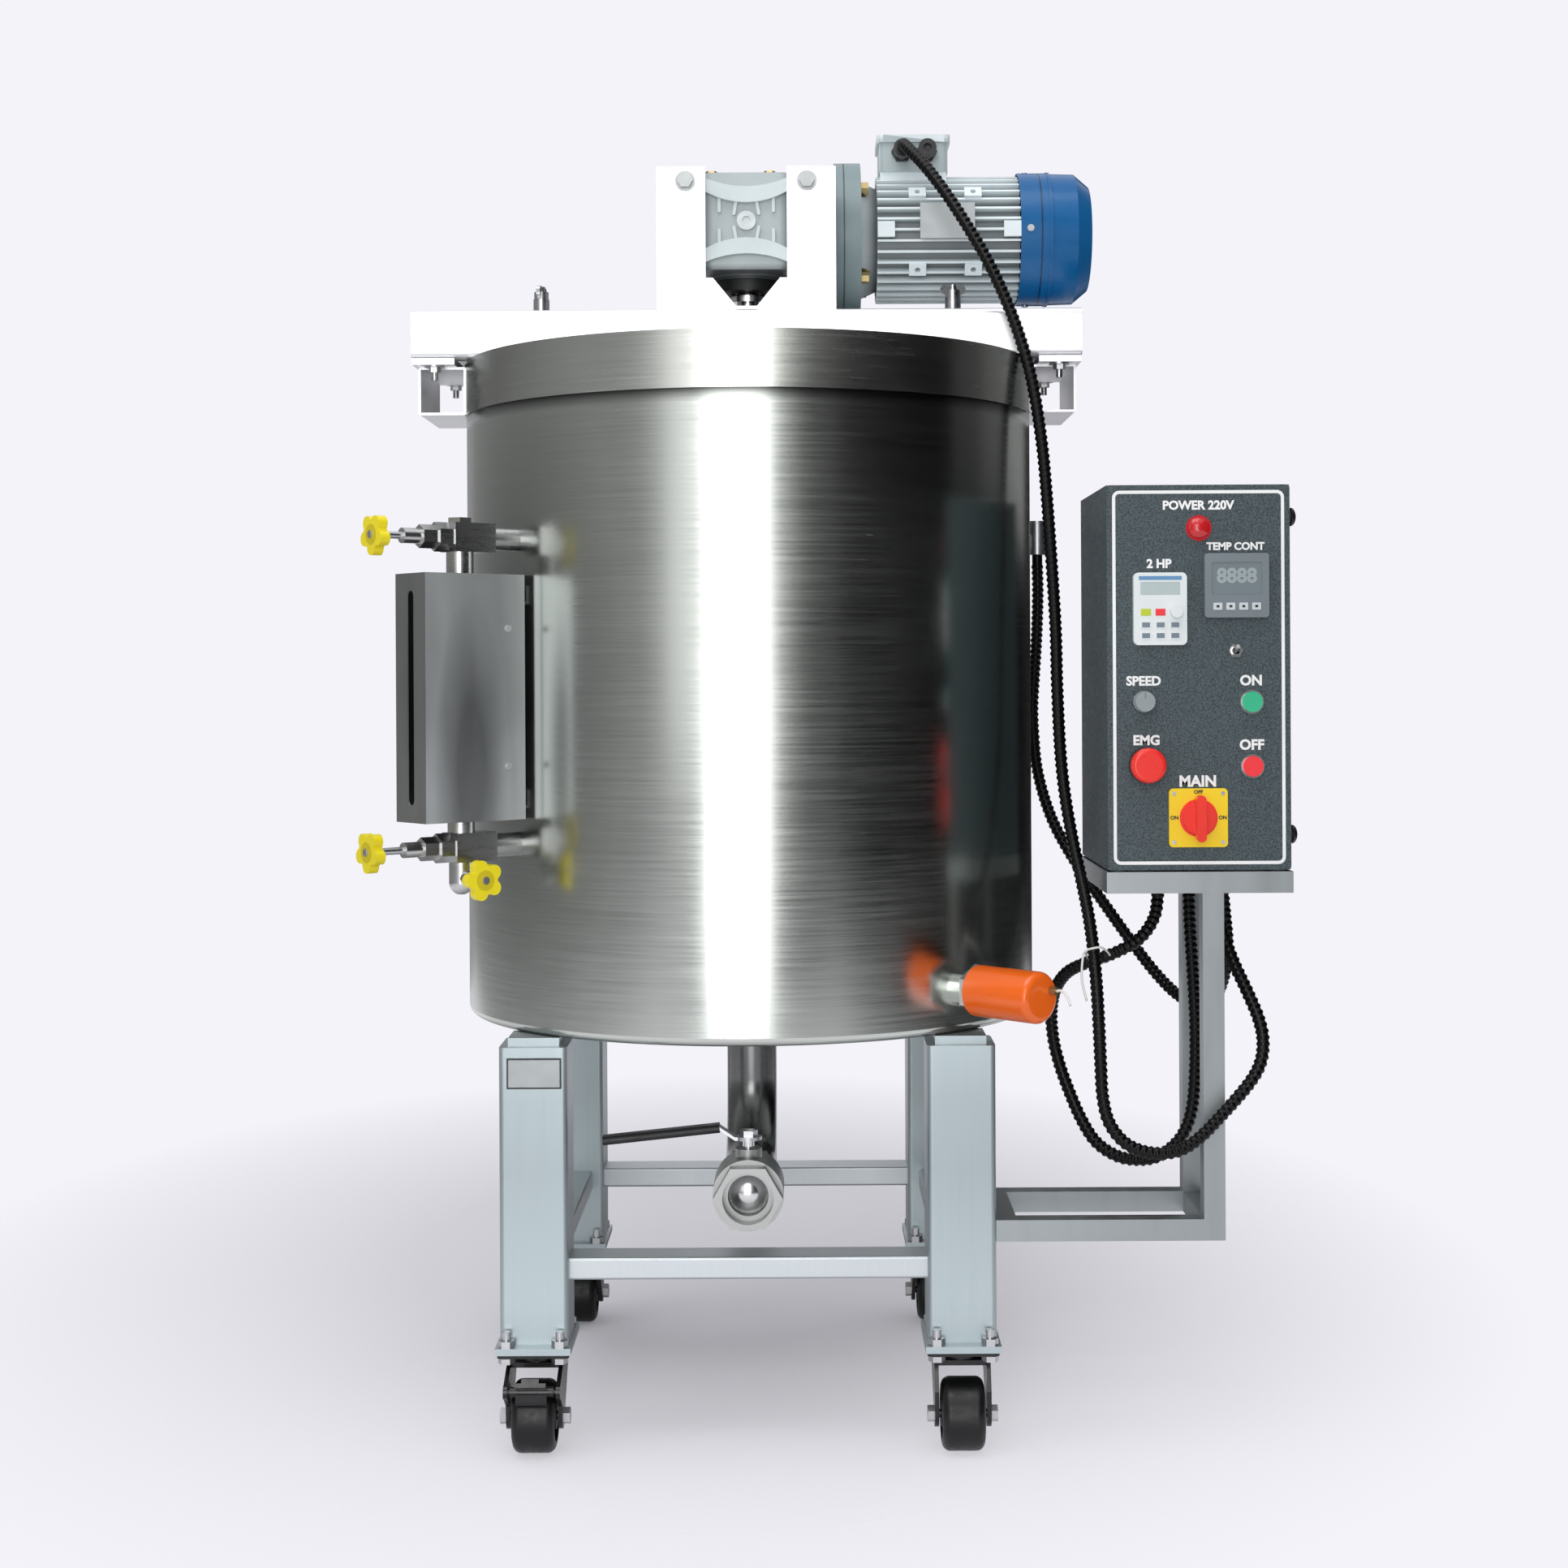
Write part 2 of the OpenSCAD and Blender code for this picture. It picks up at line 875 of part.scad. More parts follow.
module base_frame() {
  leg_h = leg_top - leg_z;
  color(light_steel) {
    at_legs() {
      translate([0, 0, leg_z])
        linear_extrude(leg_h)
          rounded_tube(leg_w, leg_w, leg_edge_r, leg_wall);
      translate([0, 0, leg_top - leg_cap_t])
        linear_extrude(leg_cap_t)
          square(leg_w - 2 * leg_wall, center = true);
      translate([0, 0, leg_top])
        linear_extrude(pad_h)
          square(pad_w, center = true);
      difference() {
        translate([0, 0, caster_h])
          linear_extrude(foot_t)
            square([foot_w, foot_d], center = true);
        foot_bolt_holes();
      }
    }
    rail_l = leg_pitch - leg_w;
    for (side = [-1, 1]) {
      translate([-rail_l / 2, side * leg_at, rail_z + rail_h / 2])
        swept_x(rail_l)
          rounded_tube(rail_w, rail_h, leg_wall, rail_wall);
      translate([side * leg_at, rail_l / 2, rail_z + rail_h / 2])
        rotate([90, 0, 0])
          linear_extrude(rail_l)
            rounded_tube(rail_w, rail_h, leg_wall, rail_wall);
    }
  }
}

module foot_bolt_holes() {
  for (x = [-foot_bolt_x, foot_bolt_x], y = [-foot_bolt_y, foot_bolt_y])
    translate([x, y, caster_h - plate_t - over])
      cylinder(r = m10_r + bolt_gap, h = plate_t + foot_t + 2 * over);
}

module caster_plates() {
  color(black)
    at_legs() {
      difference() {
        translate([0, 0, caster_h - plate_t])
          linear_extrude(plate_t)
            rounded_rect(foot_w - 2 * plate_margin, foot_d - 2 * plate_margin, leg_edge_r);
        foot_bolt_holes();
      }
      translate([0, 0, crown_z - air - kingpin_head_t])
        cylinder(r = kingpin_head_r, h = kingpin_head_t);
      translate([0, 0, crown_z - air - over])
        cylinder(r = kingpin_r, h = caster_h - plate_t - crown_z + air + 2 * over);
    }
}

// Side view of a fork's cheek, with an ear for the pedal where it has one
module cheek(ear) {
  polygon([
    [-crown_d / 2, crown_z + crown_t], [crown_d / 2, crown_z + crown_t],
    [crown_d / 2, crown_z - crown_t],
    [axle_boss_r - trail, wheel_r], [-trail - axle_boss_r, wheel_r], [-trail - axle_boss_r, crown_z - crown_r]
  ]);
  translate([-trail, wheel_r])
    circle(r = axle_boss_r);
  if (ear) {
    polygon([
      [-crown_d / 2, crown_z + crown_t], [-trail - axle_boss_r, wheel_r + axle_boss_r],
      [-pedal_y, pedal_z - pedal_ear_r], [-pedal_y, pedal_z + pedal_ear_r]
    ]);
    translate([-pedal_y, pedal_z])
      circle(r = pedal_ear_r);
  }
}

// Swivel fork with its axle, trailing towards -Y
module caster_fork(ear = false) {
  color(black) {
    difference() {
      union() {
        translate([0, 0, crown_z])
          linear_extrude(crown_t)
            rounded_rect(2 * fork_out, crown_d, leg_edge_r);
        translate([0, 0, crown_z])
          cylinder(r = crown_r, h = race_top - crown_z);
        for (x = [-fork_out, fork_in])
          translate([x, 0, 0])
            swept_x(fork_t)
              cheek(ear);
      }
      translate([0, 0, crown_z - over])
        cylinder(r = kingpin_r + fit, h = race_top - crown_z + 2 * over);
    }
    translate([-fork_out, -trail, wheel_r])
      along_x()
        cylinder(r = axle_r, h = 2 * fork_out);
    for (x = [-fork_out - axle_nut_t, fork_out])
      translate([x, -trail, wheel_r])
        along_x()
          hex_prism(axle_nut_af, axle_nut_t);
    if (ear)
      translate([-fork_out, -pedal_y, pedal_z])
        along_x()
          cylinder(r = pedal_pin_r, h = 2 * fork_out);
  }
}

module caster_wheel() {
  half = wheel_w / 2;
  bore = axle_r + fit;
  color(black)
    translate([0, -trail, wheel_r])
      along_x()
        rotate_extrude()
          polygon(concat(
            [[bore, -half], [wheel_hub_r, -half], [wheel_hub_r, wheel_recess - half],
             [wheel_rim_r, wheel_recess - half], [wheel_rim_r, -half]],
            arc([wheel_r - tread_round, tread_round - half], tread_round, -90, 0),
            arc([wheel_r - tread_round, half - tread_round], tread_round, 0, 90),
            [[wheel_rim_r, half], [wheel_rim_r, half - wheel_recess],
             [wheel_hub_r, half - wheel_recess], [wheel_hub_r, half], [bore, half]]
          ));
}

module brake_pedal() {
  color(black)
    translate([-leg_at, -leg_at - pedal_y, pedal_z]) {
      difference() {
        union() {
          translate([-fork_in + fork_gap, 0, 0])
            along_x()
              cylinder(r = pedal_barrel_r, h = wheel_w);
          translate([-pedal_w / 2, 0, 0])
            rotate([-pedal_tilt, 0, 0])
              translate([0, -pedal_l, pedal_barrel_r - pedal_t])
                cube([pedal_w, pedal_l, pedal_t]);
          rotate([-pedal_tilt, 0, 0])
            translate([-pedal_tab_w / 2, -pedal_l, pedal_barrel_r - over])
              cube([pedal_tab_w, pedal_t, pedal_tab_h]);
          translate([-pedal_w / 2, -pedal_shoe_y, -pedal_shoe_z])
            along_x()
              cylinder(r = pedal_shoe_r, h = pedal_w);
          translate([-pedal_w / 2, -pedal_shoe_y - pedal_shoe_r, -pedal_shoe_z])
            cube([pedal_w, pedal_shoe_y + pedal_shoe_r, pedal_shoe_z]);
        }
        translate([-fork_out, 0, 0])
          along_x()
            cylinder(r = pedal_pin_r + fit, h = 2 * fork_out);
      }
    }
}

module outer_jacket() {
  color(steel) {
    difference() {
      translate([0, 0, tank_z])
        rotate_extrude()
          polygon(concat(
            [[0, 0]],
            arc([jacket_r - knuckle_r, knuckle_r], knuckle_r, -90, 0),
            [[jacket_r, jacket_h], [jacket_in_r, jacket_h]],
            arc([jacket_r - knuckle_r, knuckle_r], knuckle_r - jacket_wall, 0, -90),
            [[0, jacket_wall]]
          ));
      translate([0, 0, tank_z - over])
        cylinder(r = pipe_r, h = jacket_wall + 2 * over);
      gauge_nipples();
      at_heater()
        translate([0, 0, jacket_in_r - socket_in])
          cylinder(r = plug_thread_r, h = socket_in + jacket_wall + socket_l);
      rotate([0, 0, probe_angle])
        translate([0, 0, probe_z])
          along_x()
            cylinder(r = probe_r, h = jacket_r + over);
    }
    at_heater()
      difference() {
        translate([0, 0, jacket_in_r - socket_in])
          cylinder(r = socket_r, h = socket_in + jacket_wall + socket_l);
        translate([0, 0, jacket_in_r - socket_in - over])
          cylinder(r = plug_thread_r, h = socket_in + jacket_wall + socket_l + 2 * over);
      }
    for (side = [0, 180])
      rotate([0, 0, side])
        beam_bracket();
  }
}

// Square stub with a bolting plate, welded to the jacket to carry one end of the beam
module beam_bracket() {
  difference() {
    translate([stub_in + stub_w / 2, stub_l / 2, bracket_z - stub_h / 2])
      rotate([90, 0, 0])
        linear_extrude(stub_l)
          rounded_tube(stub_w, stub_h, leg_wall, stub_wall);
    translate([0, 0, tank_z])
      cylinder(r = jacket_r - jacket_wall / 2, h = jacket_h);
  }
  difference() {
    translate([bracket_in, -beam_w / 2, bracket_z])
      cube([bracket_out - bracket_in, beam_w, bracket_t]);
    for (y = [-beam_bolt_y, beam_bolt_y])
      translate([beam_bolt_x, y, bracket_z - over])
        cylinder(r = m8_r + bolt_gap, h = bracket_t + 2 * over);
  }
}

module inner_vessel() {
  in_r = vessel_r - vessel_wall;
  steps = [0 : arc_steps];
  outer = [for (i = steps) let (r = vessel_r * i / arc_steps) [r, dish(r, vessel_r, dish_h)]];
  inner = [for (i = steps) let (r = in_r * (1 - i / arc_steps)) [r, vessel_wall + dish(r, in_r, dish_h)]];
  top = rim_z - vessel_z;
  color(steel)
    difference() {
      translate([0, 0, vessel_z])
        rotate_extrude()
          polygon(concat(
            outer,
            [[vessel_r, top - rim_t], [jacket_in_r, top - rim_t], [jacket_in_r, top], [in_r, top]],
            inner
          ));
      translate([0, 0, vessel_z - over])
        cylinder(r = pipe_r, h = vessel_wall + dish_h + over);
      rotate([0, 0, probe_angle])
        translate([0, 0, probe_z])
          along_x()
            cylinder(r = probe_r, h = jacket_r);
    }
}

// Half-moon outline behind the flap's hinge line
module half_moon(r, y) {
  intersection() {
    circle(r = r);
    translate([-r, y])
      square([2 * r, r]);
  }
}

module lid() {
  color(steel) {
    difference() {
      translate([0, 0, rim_z])
        cylinder(r = lid_r, h = lid_wall);
      translate([0, 0, rim_z - over])
        cylinder(r = shaft_r + shaft_hole_gap, h = lid_wall + 2 * over);
      translate([0, 0, rim_z - over])
        linear_extrude(lid_wall + 2 * over)
          half_moon(flap_r - mouth_margin - (jacket_r - vessel_r) / 2, mouth_y);
    }
    difference() {
      translate([0, 0, lid_z - skirt_h])
        cylinder(r = lid_r, h = skirt_h - lid_wall / 2);
      translate([0, 0, lid_z - skirt_h - over])
        cylinder(r = lid_r - lid_wall, h = skirt_h + over);
      translate([-lid_r - over, -stub_l / 2 - lid_notch_gap, lid_z - skirt_h - over])
        cube([2 * (lid_r + over), stub_l + 2 * lid_notch_gap, skirt_h - lid_wall + over]);
    }
    for (x = [-hinge_x, hinge_x])
      translate([x, flap_y, hinge_z])
        hinge_fixed();
  }
}

// Fixed half of a flap hinge: two ears and the pin
module hinge_fixed() {
  span = hinge_barrel_l / 2 + air;
  for (side = [-1, 1])
    translate([side > 0 ? span : -span - hinge_ear_l, 0, 0]) {
      along_x()
        cylinder(r = hinge_r, h = hinge_ear_l);
      translate([0, -hinge_r, lid_z - hinge_z])
        cube([hinge_ear_l, 2 * hinge_r, hinge_z - lid_z]);
    }
  translate([-span - hinge_ear_l, 0, 0])
    along_x()
      cylinder(r = hinge_pin_r, h = 2 * (span + hinge_ear_l));
}

// Flap with its two hinge barrels and a low bar handle
module filling_flap() {
  color(steel) {
    difference() {
      translate([0, 0, flap_z])
        linear_extrude(flap_t)
          half_moon(flap_r, flap_y + air);
      for (x = [-hinge_x, hinge_x], side = [-1, 1])
        translate([x + side * (hinge_barrel_l + hinge_ear_l) / 2, flap_y, hinge_z])
          cube([hinge_ear_l + 4 * air, 2 * hinge_r + 4 * air, 4 * hinge_r], center = true);
    }
    for (x = [-hinge_x, hinge_x])
      translate([x - hinge_barrel_l / 2, flap_y, hinge_z])
        difference() {
          union() {
            along_x()
              cylinder(r = hinge_r, h = hinge_barrel_l);
            translate([0, 0, -hinge_r - air])
              cube([hinge_barrel_l, hinge_leaf_l, flap_t]);
          }
          translate([-over, 0, 0])
            along_x()
              cylinder(r = hinge_pin_r + fit, h = hinge_barrel_l + 2 * over);
        }
    for (x = [-handle_w / 2, handle_w / 2])
      translate([x, handle_y, flap_z + flap_t - over])
        cylinder(r = handle_r, h = handle_h + over);
    translate([-handle_w / 2 - handle_r, handle_y, flap_z + flap_t + handle_h])
      along_x()
        cylinder(r = handle_r, h = handle_w + 2 * handle_r);
  }
}

module cross_beam() {
  color(white)
    difference() {
      translate([-beam_l / 2, 0, beam_z + beam_h / 2])
        swept_x(beam_l)
          difference() {
            rounded_rect(beam_w, beam_h, beam_bend_r);
            rounded_rect(beam_w - 2 * beam_wall, beam_h - 2 * beam_wall, beam_bend_r - beam_wall);
            translate([0, -beam_h / 2])
              square([beam_w - 2 * beam_lip, 4 * beam_wall], center = true);
          }
      for (x = [-beam_bolt_x, beam_bolt_x], y = [-beam_bolt_y, beam_bolt_y])
        translate([x, y, beam_z - over])
          cylinder(r = m8_r + bolt_gap, h = beam_wall + 2 * over);
      for (x = [-stud_x, stud_x])
        translate([x, -stud_y, beam_top - beam_wall - over])
          cylinder(r = m10_r + bolt_gap, h = beam_wall + 2 * over);
      translate([0, 0, beam_top - beam_wall - over])
        cylinder(r = shaft_r + beam_hole_gap, h = beam_wall + 2 * over);
    }
}

// Bolts, nuts, washers, lid studs and spacers of the whole machine
module fasteners() {
  color(steel) {
    for (x = [-beam_bolt_x, beam_bolt_x], y = [-beam_bolt_y, beam_bolt_y])
      translate([x, y, beam_z + beam_wall]) {
        bolt_and_nut(m8_r, m8_af, m8_head_t, m8_nut_t, beam_wall + bracket_t + washer_t);
        translate([0, 0, -beam_wall - bracket_t - washer_t])
          difference() {
            cylinder(r = washer_r, h = washer_t);
            translate([0, 0, -over])
              cylinder(r = m8_r, h = washer_t + 2 * over);
          }
      }
    at_legs()
      for (x = [-foot_bolt_x, foot_bolt_x], y = [-foot_bolt_y, foot_bolt_y])
        translate([x, y, caster_h - plate_t])
          rotate([180, 0, 0])
            bolt_and_nut(m10_r, m10_af, m10_head_t, m10_nut_t, plate_t + foot_t);
    for (x = [-stud_x, stud_x])
      translate([x, -stud_y, 0]) {
        translate([0, 0, lid_z])
          cylinder(r = m10_r, h = stud_top - lid_z);
        translate([0, 0, beam_top])
          difference() {
            cylinder(r = spacer_r, h = spacer_h);
            translate([0, 0, -over])
              cylinder(r = m10_r, h = spacer_h + 2 * over);
          }
      }
    for (x = [-bracket_bolt_x, bracket_bolt_x])
      translate([x, -bracket_front - washer_t, gear_z + bracket_bolt_z])
        rotate([90, 0, 0]) {
          hex_prism(m10_af, m10_head_t);
          translate([0, 0, -washer_t])
            cylinder(r = washer_r, h = washer_t);
          translate([0, 0, -washer_t - upright_t - thread_end])
            cylinder(r = m10_r, h = washer_t + upright_t + thread_end + over);
        }
  }
}

// Wing nut standing on its spacer, wings along X
module wing_nut() {
  color(steel)
    difference() {
      union() {
        cylinder(r = wing_boss_r, h = wing_boss_h);
        for (side = [-1, 1])
          translate([side * (wing_span / 2 - wing_r), wing_t / 2, wing_h - wing_r])
            rotate([90, 0, 0])
              cylinder(r = wing_r, h = wing_t);
        for (side = [0, 180])
          rotate([0, 0, side])
            translate([0, -wing_t / 2, 0])
              cube([wing_span / 2 - wing_r, wing_t, wing_boss_h]);
      }
      translate([0, 0, -over])
        cylinder(r = m10_r + fit, h = wing_h + 2 * over);
    }
}

module wing_nut_left() {
  translate([-stud_x, -stud_y, beam_top + spacer_h + air])
    rotate([0, 0, 80])
      wing_nut();
}

module wing_nut_right() {
  translate([stud_x, -stud_y, beam_top + spacer_h + air])
    rotate([0, 0, 10])
      wing_nut();
}

// Front plate of the bracket, with its window and the V over the shaft
module bracket_front_outline() {
  half = bracket_w / 2;
  window = half - upright_w;
  polygon([
    [-half, 0], [-vee_bottom / 2, 0], [-vee_bottom / 2, vee_z], [-vee_top / 2, sill_h], [-window, sill_h],
    [-window, upright_h], [-half, upright_h]
  ]);
  polygon([
    [half, 0], [vee_bottom / 2, 0], [vee_bottom / 2, vee_z], [vee_top / 2, sill_h], [window, sill_h],
    [window, upright_h], [half, upright_h]
  ]);
  translate([-vee_bottom / 2, 0])
    square([vee_bottom, vee_z]);
}

module gearbox_bracket() {
  half = bracket_w / 2;
  color(white)
    translate([0, 0, beam_top]) {
      difference() {
        translate([0, upright_t - bracket_front, 0])
          rotate([90, 0, 0])
            linear_extrude(upright_t)
              bracket_front_outline();
        for (x = [-bracket_bolt_x, bracket_bolt_x])
          translate([x, over - bracket_front + upright_t, gear_rise + bracket_bolt_z])
            rotate([90, 0, 0])
              cylinder(r = m10_r, h = upright_t + 2 * over);
      }
      for (x = [-half, half - upright_t])
        translate([x, -bracket_front, 0])
          cube([upright_t, upright_return, upright_h]);
      difference() {
        translate([-half, -bracket_front, 0])
          cube([bracket_w, bracket_base_d, bracket_base_t]);
        translate([0, 0, -over])
          cylinder(r = shaft_r + beam_hole_gap, h = bracket_base_t + 2 * over);
        translate([-vee_bottom, -bracket_front - over, vee_z])
          cube([2 * vee_bottom, upright_t + over, bracket_base_t]);
      }
    }
}

// Foot pad of the gearbox: a band whose long edges sag towards the axis, with straight lugs at its ends
module foot_pad() {
  in_a = asin(pad_arc_half / pad_in_r);
  out_a = asin(pad_arc_half / pad_out_r);
  polygon(concat(
    arc([0, pad_in + pad_in_r], pad_in_r, -90 - in_a, -90 + in_a),
    [[pad_half_w, pad_lug_low], [pad_half_w, pad_lug_high]],
    arc([0, pad_out + pad_out_r], pad_out_r, -90 + out_a, -90 - out_a),
    [[-pad_half_w, pad_lug_high], [-pad_half_w, pad_lug_low]]
  ));
}

module gearbox_housing() {
  face = case_front - face_recess;
  color(cast_grey)
    translate([0, 0, gear_z])
      difference() {
        union() {
          // Wheel case, its round covers and the worm tube
          translate([0, (case_back - face) / 2, -case_h / 2 + cover_t])
            linear_extrude(case_h - 2 * cover_t)
              rounded_rect(case_w, face + case_back, case_round);
          translate([0, 0, -case_h / 2])
            cylinder(r = cover_r, h = case_h);
          translate([-worm_tube_l, gear_centres, 0])
            along_x()
              cylinder(r = worm_tube_r, h = worm_tube_l + flange_x);
          // Round motor flange with its stiffening web
          translate([flange_x, gear_centres, 0])
            along_x()
              cylinder(r = flange_r, h = flange_t);
          translate([case_w / 2 - case_round, gear_centres - flange_rib_t / 2, -flange_rib_w / 2])
            cube([flange_x - case_w / 2 + case_round, flange_rib_t, flange_rib_w]);
          // Curved foot pads, ribs and the filler plug on the front face
          for (side = [0, 180])
            rotate([0, side, 0])
              translate([0, -face + over, 0])
                rotate([90, 0, 0])
                  linear_extrude(face_recess + over)
                    foot_pad();
          for (x = [-1, 1], z = [-1, 1])
            translate([x * rib_x, -face + over, z * pad_out / 2])
              rotate([90, 0, 0])
                linear_extrude(rib_out + over)
                  rounded_rect(rib_w, rib_l, rib_w / 2 - fit);
          for (a = [-1, 1], z = [0, 180])
            rotate([0, z, 0])
              translate([a * rib_slant_x, -face + over, plug_r + rib_l / 4])
                rotate([90, 0, 0])
                  rotate(a * rib_slant)
                    linear_extrude(rib_out + over)
                      rounded_rect(rib_w, rib_l, rib_w / 2 - fit);
          translate([0, over - face, 0])
            rotate([90, 0, 0])
              cylinder(r = plug_r, h = plug_t + over);
          // Plugs on the top cover
          for (x = top_plug_x)
            translate([x, -top_plug_y, case_h / 2 - cover_t - over])
              hex_prism(top_plug_af, top_plug_t + over);
        }
        // Chambers, bearing bores and the plug's socket
        translate([0, 0, -wheel_chamber_h / 2])
          cylinder(r = wheel_chamber_r, h = wheel_chamber_h);
        translate([0, 0, -case_h])
          cylinder(r = hub_r + fit, h = 2 * case_h);
        translate([-worm_far, gear_centres, 0])
          along_x()
            cylinder(r = worm_chamber_r, h = worm_far + flange_x + flange_t + over);
        translate([-worm_tube_l + over, gear_centres, 0])
          along_x()
            cylinder(r = journal_end_r + fit, h = worm_tube_l);
        translate([0, -face - plug_t / 2, 0])
          rotate([90, 0, 0])
            hex_prism(2 * plug_socket_r, plug_t);
        for (x = [-bracket_bolt_x, bracket_bolt_x])
          translate([x, over - case_front + thread_end, bracket_bolt_z])
            rotate([90, 0, 0])
              cylinder(r = m10_r, h = thread_end + 2 * over);
      }
}

module worm_wheel() {
  color(brass)
    translate([0, 0, gear_z])
      difference() {
        union() {
          translate([0, 0, -wheel_face / 2])
            cylinder(r = gear_centres - worm_r - wheel_gap, h = wheel_face);
          translate([0, 0, -hub_low])
            cylinder(r = hub_r, h = hub_low + case_h / 2);
        }
        translate([0, 0, -hub_low - over])
          cylinder(r = shaft_r + fit, h = 2 * case_h);
      }
}

// Stirrer: the shaft with a flat-bar frame that sweeps the vessel's wall
module stirrer() {
  low = vessel_z + vessel_wall + stirrer_low_h;
  half = vessel_r - vessel_wall - stirrer_gap;
  color(steel) {
    translate([0, 0, low])
      cylinder(r = shaft_r, h = gear_z + case_h / 2 - over - low);
    translate([0, 0, gear_z - collar_z])
      cylinder(r = collar_r, h = collar_t);
    for (z = [low, low + stirrer_h - stirrer_bar])
      translate([-half, -stirrer_t / 2, z])
        cube([2 * half, stirrer_t, stirrer_bar]);
    for (x = [-half, half - stirrer_bar])
      translate([x, -stirrer_t / 2, low])
        cube([stirrer_bar, stirrer_t, stirrer_h]);
  }
}

// End view of the finned body
module fin_profile() {
  circle(r = core_r);
  for (i = [0 : fin_count - 1])
    rotate(i * 360 / fin_count)
      translate([0, -fin_t / 2])
        square([fin_r, fin_t]);
}

module motor_frame() {
  color(cast_grey)
    difference() {
      union() {
        at_motor() {
          translate([0, 0, motor_x])
            cylinder(r = flange_r, h = motor_flange_t);
          translate([0, 0, shield_x - over])
            cylinder(r1 = shield_r + shield_l / 2, r2 = shield_r, h = shield_l + 2 * over);
          translate([0, 0, body_x])
            linear_extrude(motor_l)
              fin_profile();
          for (i = [0 : 3])
            rotate(45 + 90 * i)
              translate([flange_nut_pcd / 2, 0, shield_x - over])
                hex_prism(flange_nut_af, flange_nut_t + over);
          for (share = boss_x_shares, a = boss_angles)
            rotate(a)
              translate([core_r, -boss_w / 2, body_x + motor_l * share - boss_l / 2])
                cube([fin_r - core_r + boss_out, boss_w, boss_l]);
          for (z = [body_x, body_end - boss_l])
            rotate(-90)
              translate([core_r, -mid_boss_w / 2, z])
                cube([fin_r - core_r + fin_t, mid_boss_w, boss_l]);
        }
        translate([pad_x, gear_centres - pad_d / 2, gear_z])
          cube([pad_l, pad_d, fin_r]);
      }
      at_motor() {
        translate([0, 0, body_x])
          cylinder(r = stator_r, h = motor_l - rear_shield_t);
        translate([0, 0, motor_x - over])
          cylinder(r = journal_r + fit, h = body_end - motor_x + 2 * over);
        for (share = boss_x_shares, a = boss_angles)
          rotate(a)
            translate([fin_r + boss_out - boss_hole_l, 0, body_x + motor_l * share])
              rotate([0, 90, 0])
                cylinder(r = boss_hole_r, h = boss_hole_l + over);
      }
    }
}

module motor_rotor() {
  color(steel)
    at_motor() {
      translate([0, 0, -worm_tube_l + 2 * over])
        cylinder(r = journal_end_r, h = worm_tube_l);
      translate([0, 0, -worm_l / 2])
        cylinder(r = worm_r, h = worm_l);
      translate([0, 0, 0])
        cylinder(r = journal_r, h = body_end + fan_x + fan_l);
      translate([0, 0, body_x + rotor_in])
        cylinder(r = stator_r - rotor_gap, h = motor_l - rear_shield_t - 2 * rotor_in);
      translate([0, 0, body_end + fan_x]) {
        cylinder(r = fan_hub_r, h = fan_l);
        for (i = [0 : fan_blades - 1])
          rotate(i * 360 / fan_blades)
            translate([0, -fan_blade_t / 2, 0])
              cube([fan_r, fan_blade_t, fan_l]);
        cylinder(r = fan_r, h = fan_blade_t);
      }
    }
}

module fan_cowl() {
  straight = cowl_l - cowl_shoulder;
  color(blue)
    at_motor()
      translate([0, 0, body_end])
        difference() {
          rotate_extrude()
            polygon([
              [cowl_r - cowl_wall, 0], [cowl_r, 0], [cowl_r, cowl_step],
              [cowl_r + over, cowl_step], [cowl_r + over, cowl_step + cowl_bead],
              [cowl_r - over, cowl_step + cowl_bead], [cowl_r - 2 * over, straight],
              [cowl_end_r, cowl_l], [0, cowl_l], [0, cowl_l - cowl_wall],
              [cowl_end_r - cowl_wall, cowl_l - cowl_wall],
              [cowl_r - 2 * over - cowl_wall, straight - cowl_wall / 2],
              [cowl_r - over - cowl_wall, cowl_step + cowl_bead]
            ]);
          translate([0, 0, cowl_l - cowl_wall - over])
            linear_extrude(cowl_wall + 2 * over)
              cowl_grille();
        }
}

// Openings of the grille: short radial slots in two rings
module cowl_grille() {
  half = cowl_ring_w / 2;
  for (i = [0 : cowl_slots - 1])
    rotate(i * 360 / cowl_slots)
      translate([0, -cowl_slot_w / 2]) {
        translate([cowl_ring_mid + half, 0])
          square([cowl_ring_out - cowl_ring_mid - half, cowl_slot_w]);
        if (i % 2 == 0)
          translate([cowl_ring_in, 0])
            square([cowl_ring_mid - half - cowl_ring_in, cowl_slot_w]);
      }
}

module terminal_box() {
  mid = [terminal_x + terminal_w / 2, gear_centres, terminal_z];
  lip = 2 * terminal_lip;
  color(cast_grey)
    translate(mid) {
      linear_extrude(terminal_h)
        rounded_rect(terminal_w - lip, terminal_d - lip, terminal_round);
      translate([0, 0, terminal_h])
        linear_extrude(terminal_lid_t)
          rounded_rect(terminal_w, terminal_d, terminal_round);
    }
}

// Cable gland with a hexagon and a domed nut, axis up from zero
module cable_gland(l) {
  difference() {
    union() {
      hex_prism(gland_hex_af, gland_hex_t);
      translate([0, 0, gland_hex_t - over])
        cylinder(r = gland_r, h = l - gland_hex_t + over);
    }
    translate([0, 0, l - gland_hex_t])
      cylinder(r = conduit_bore_r, h = gland_hex_t + over);
  }
}

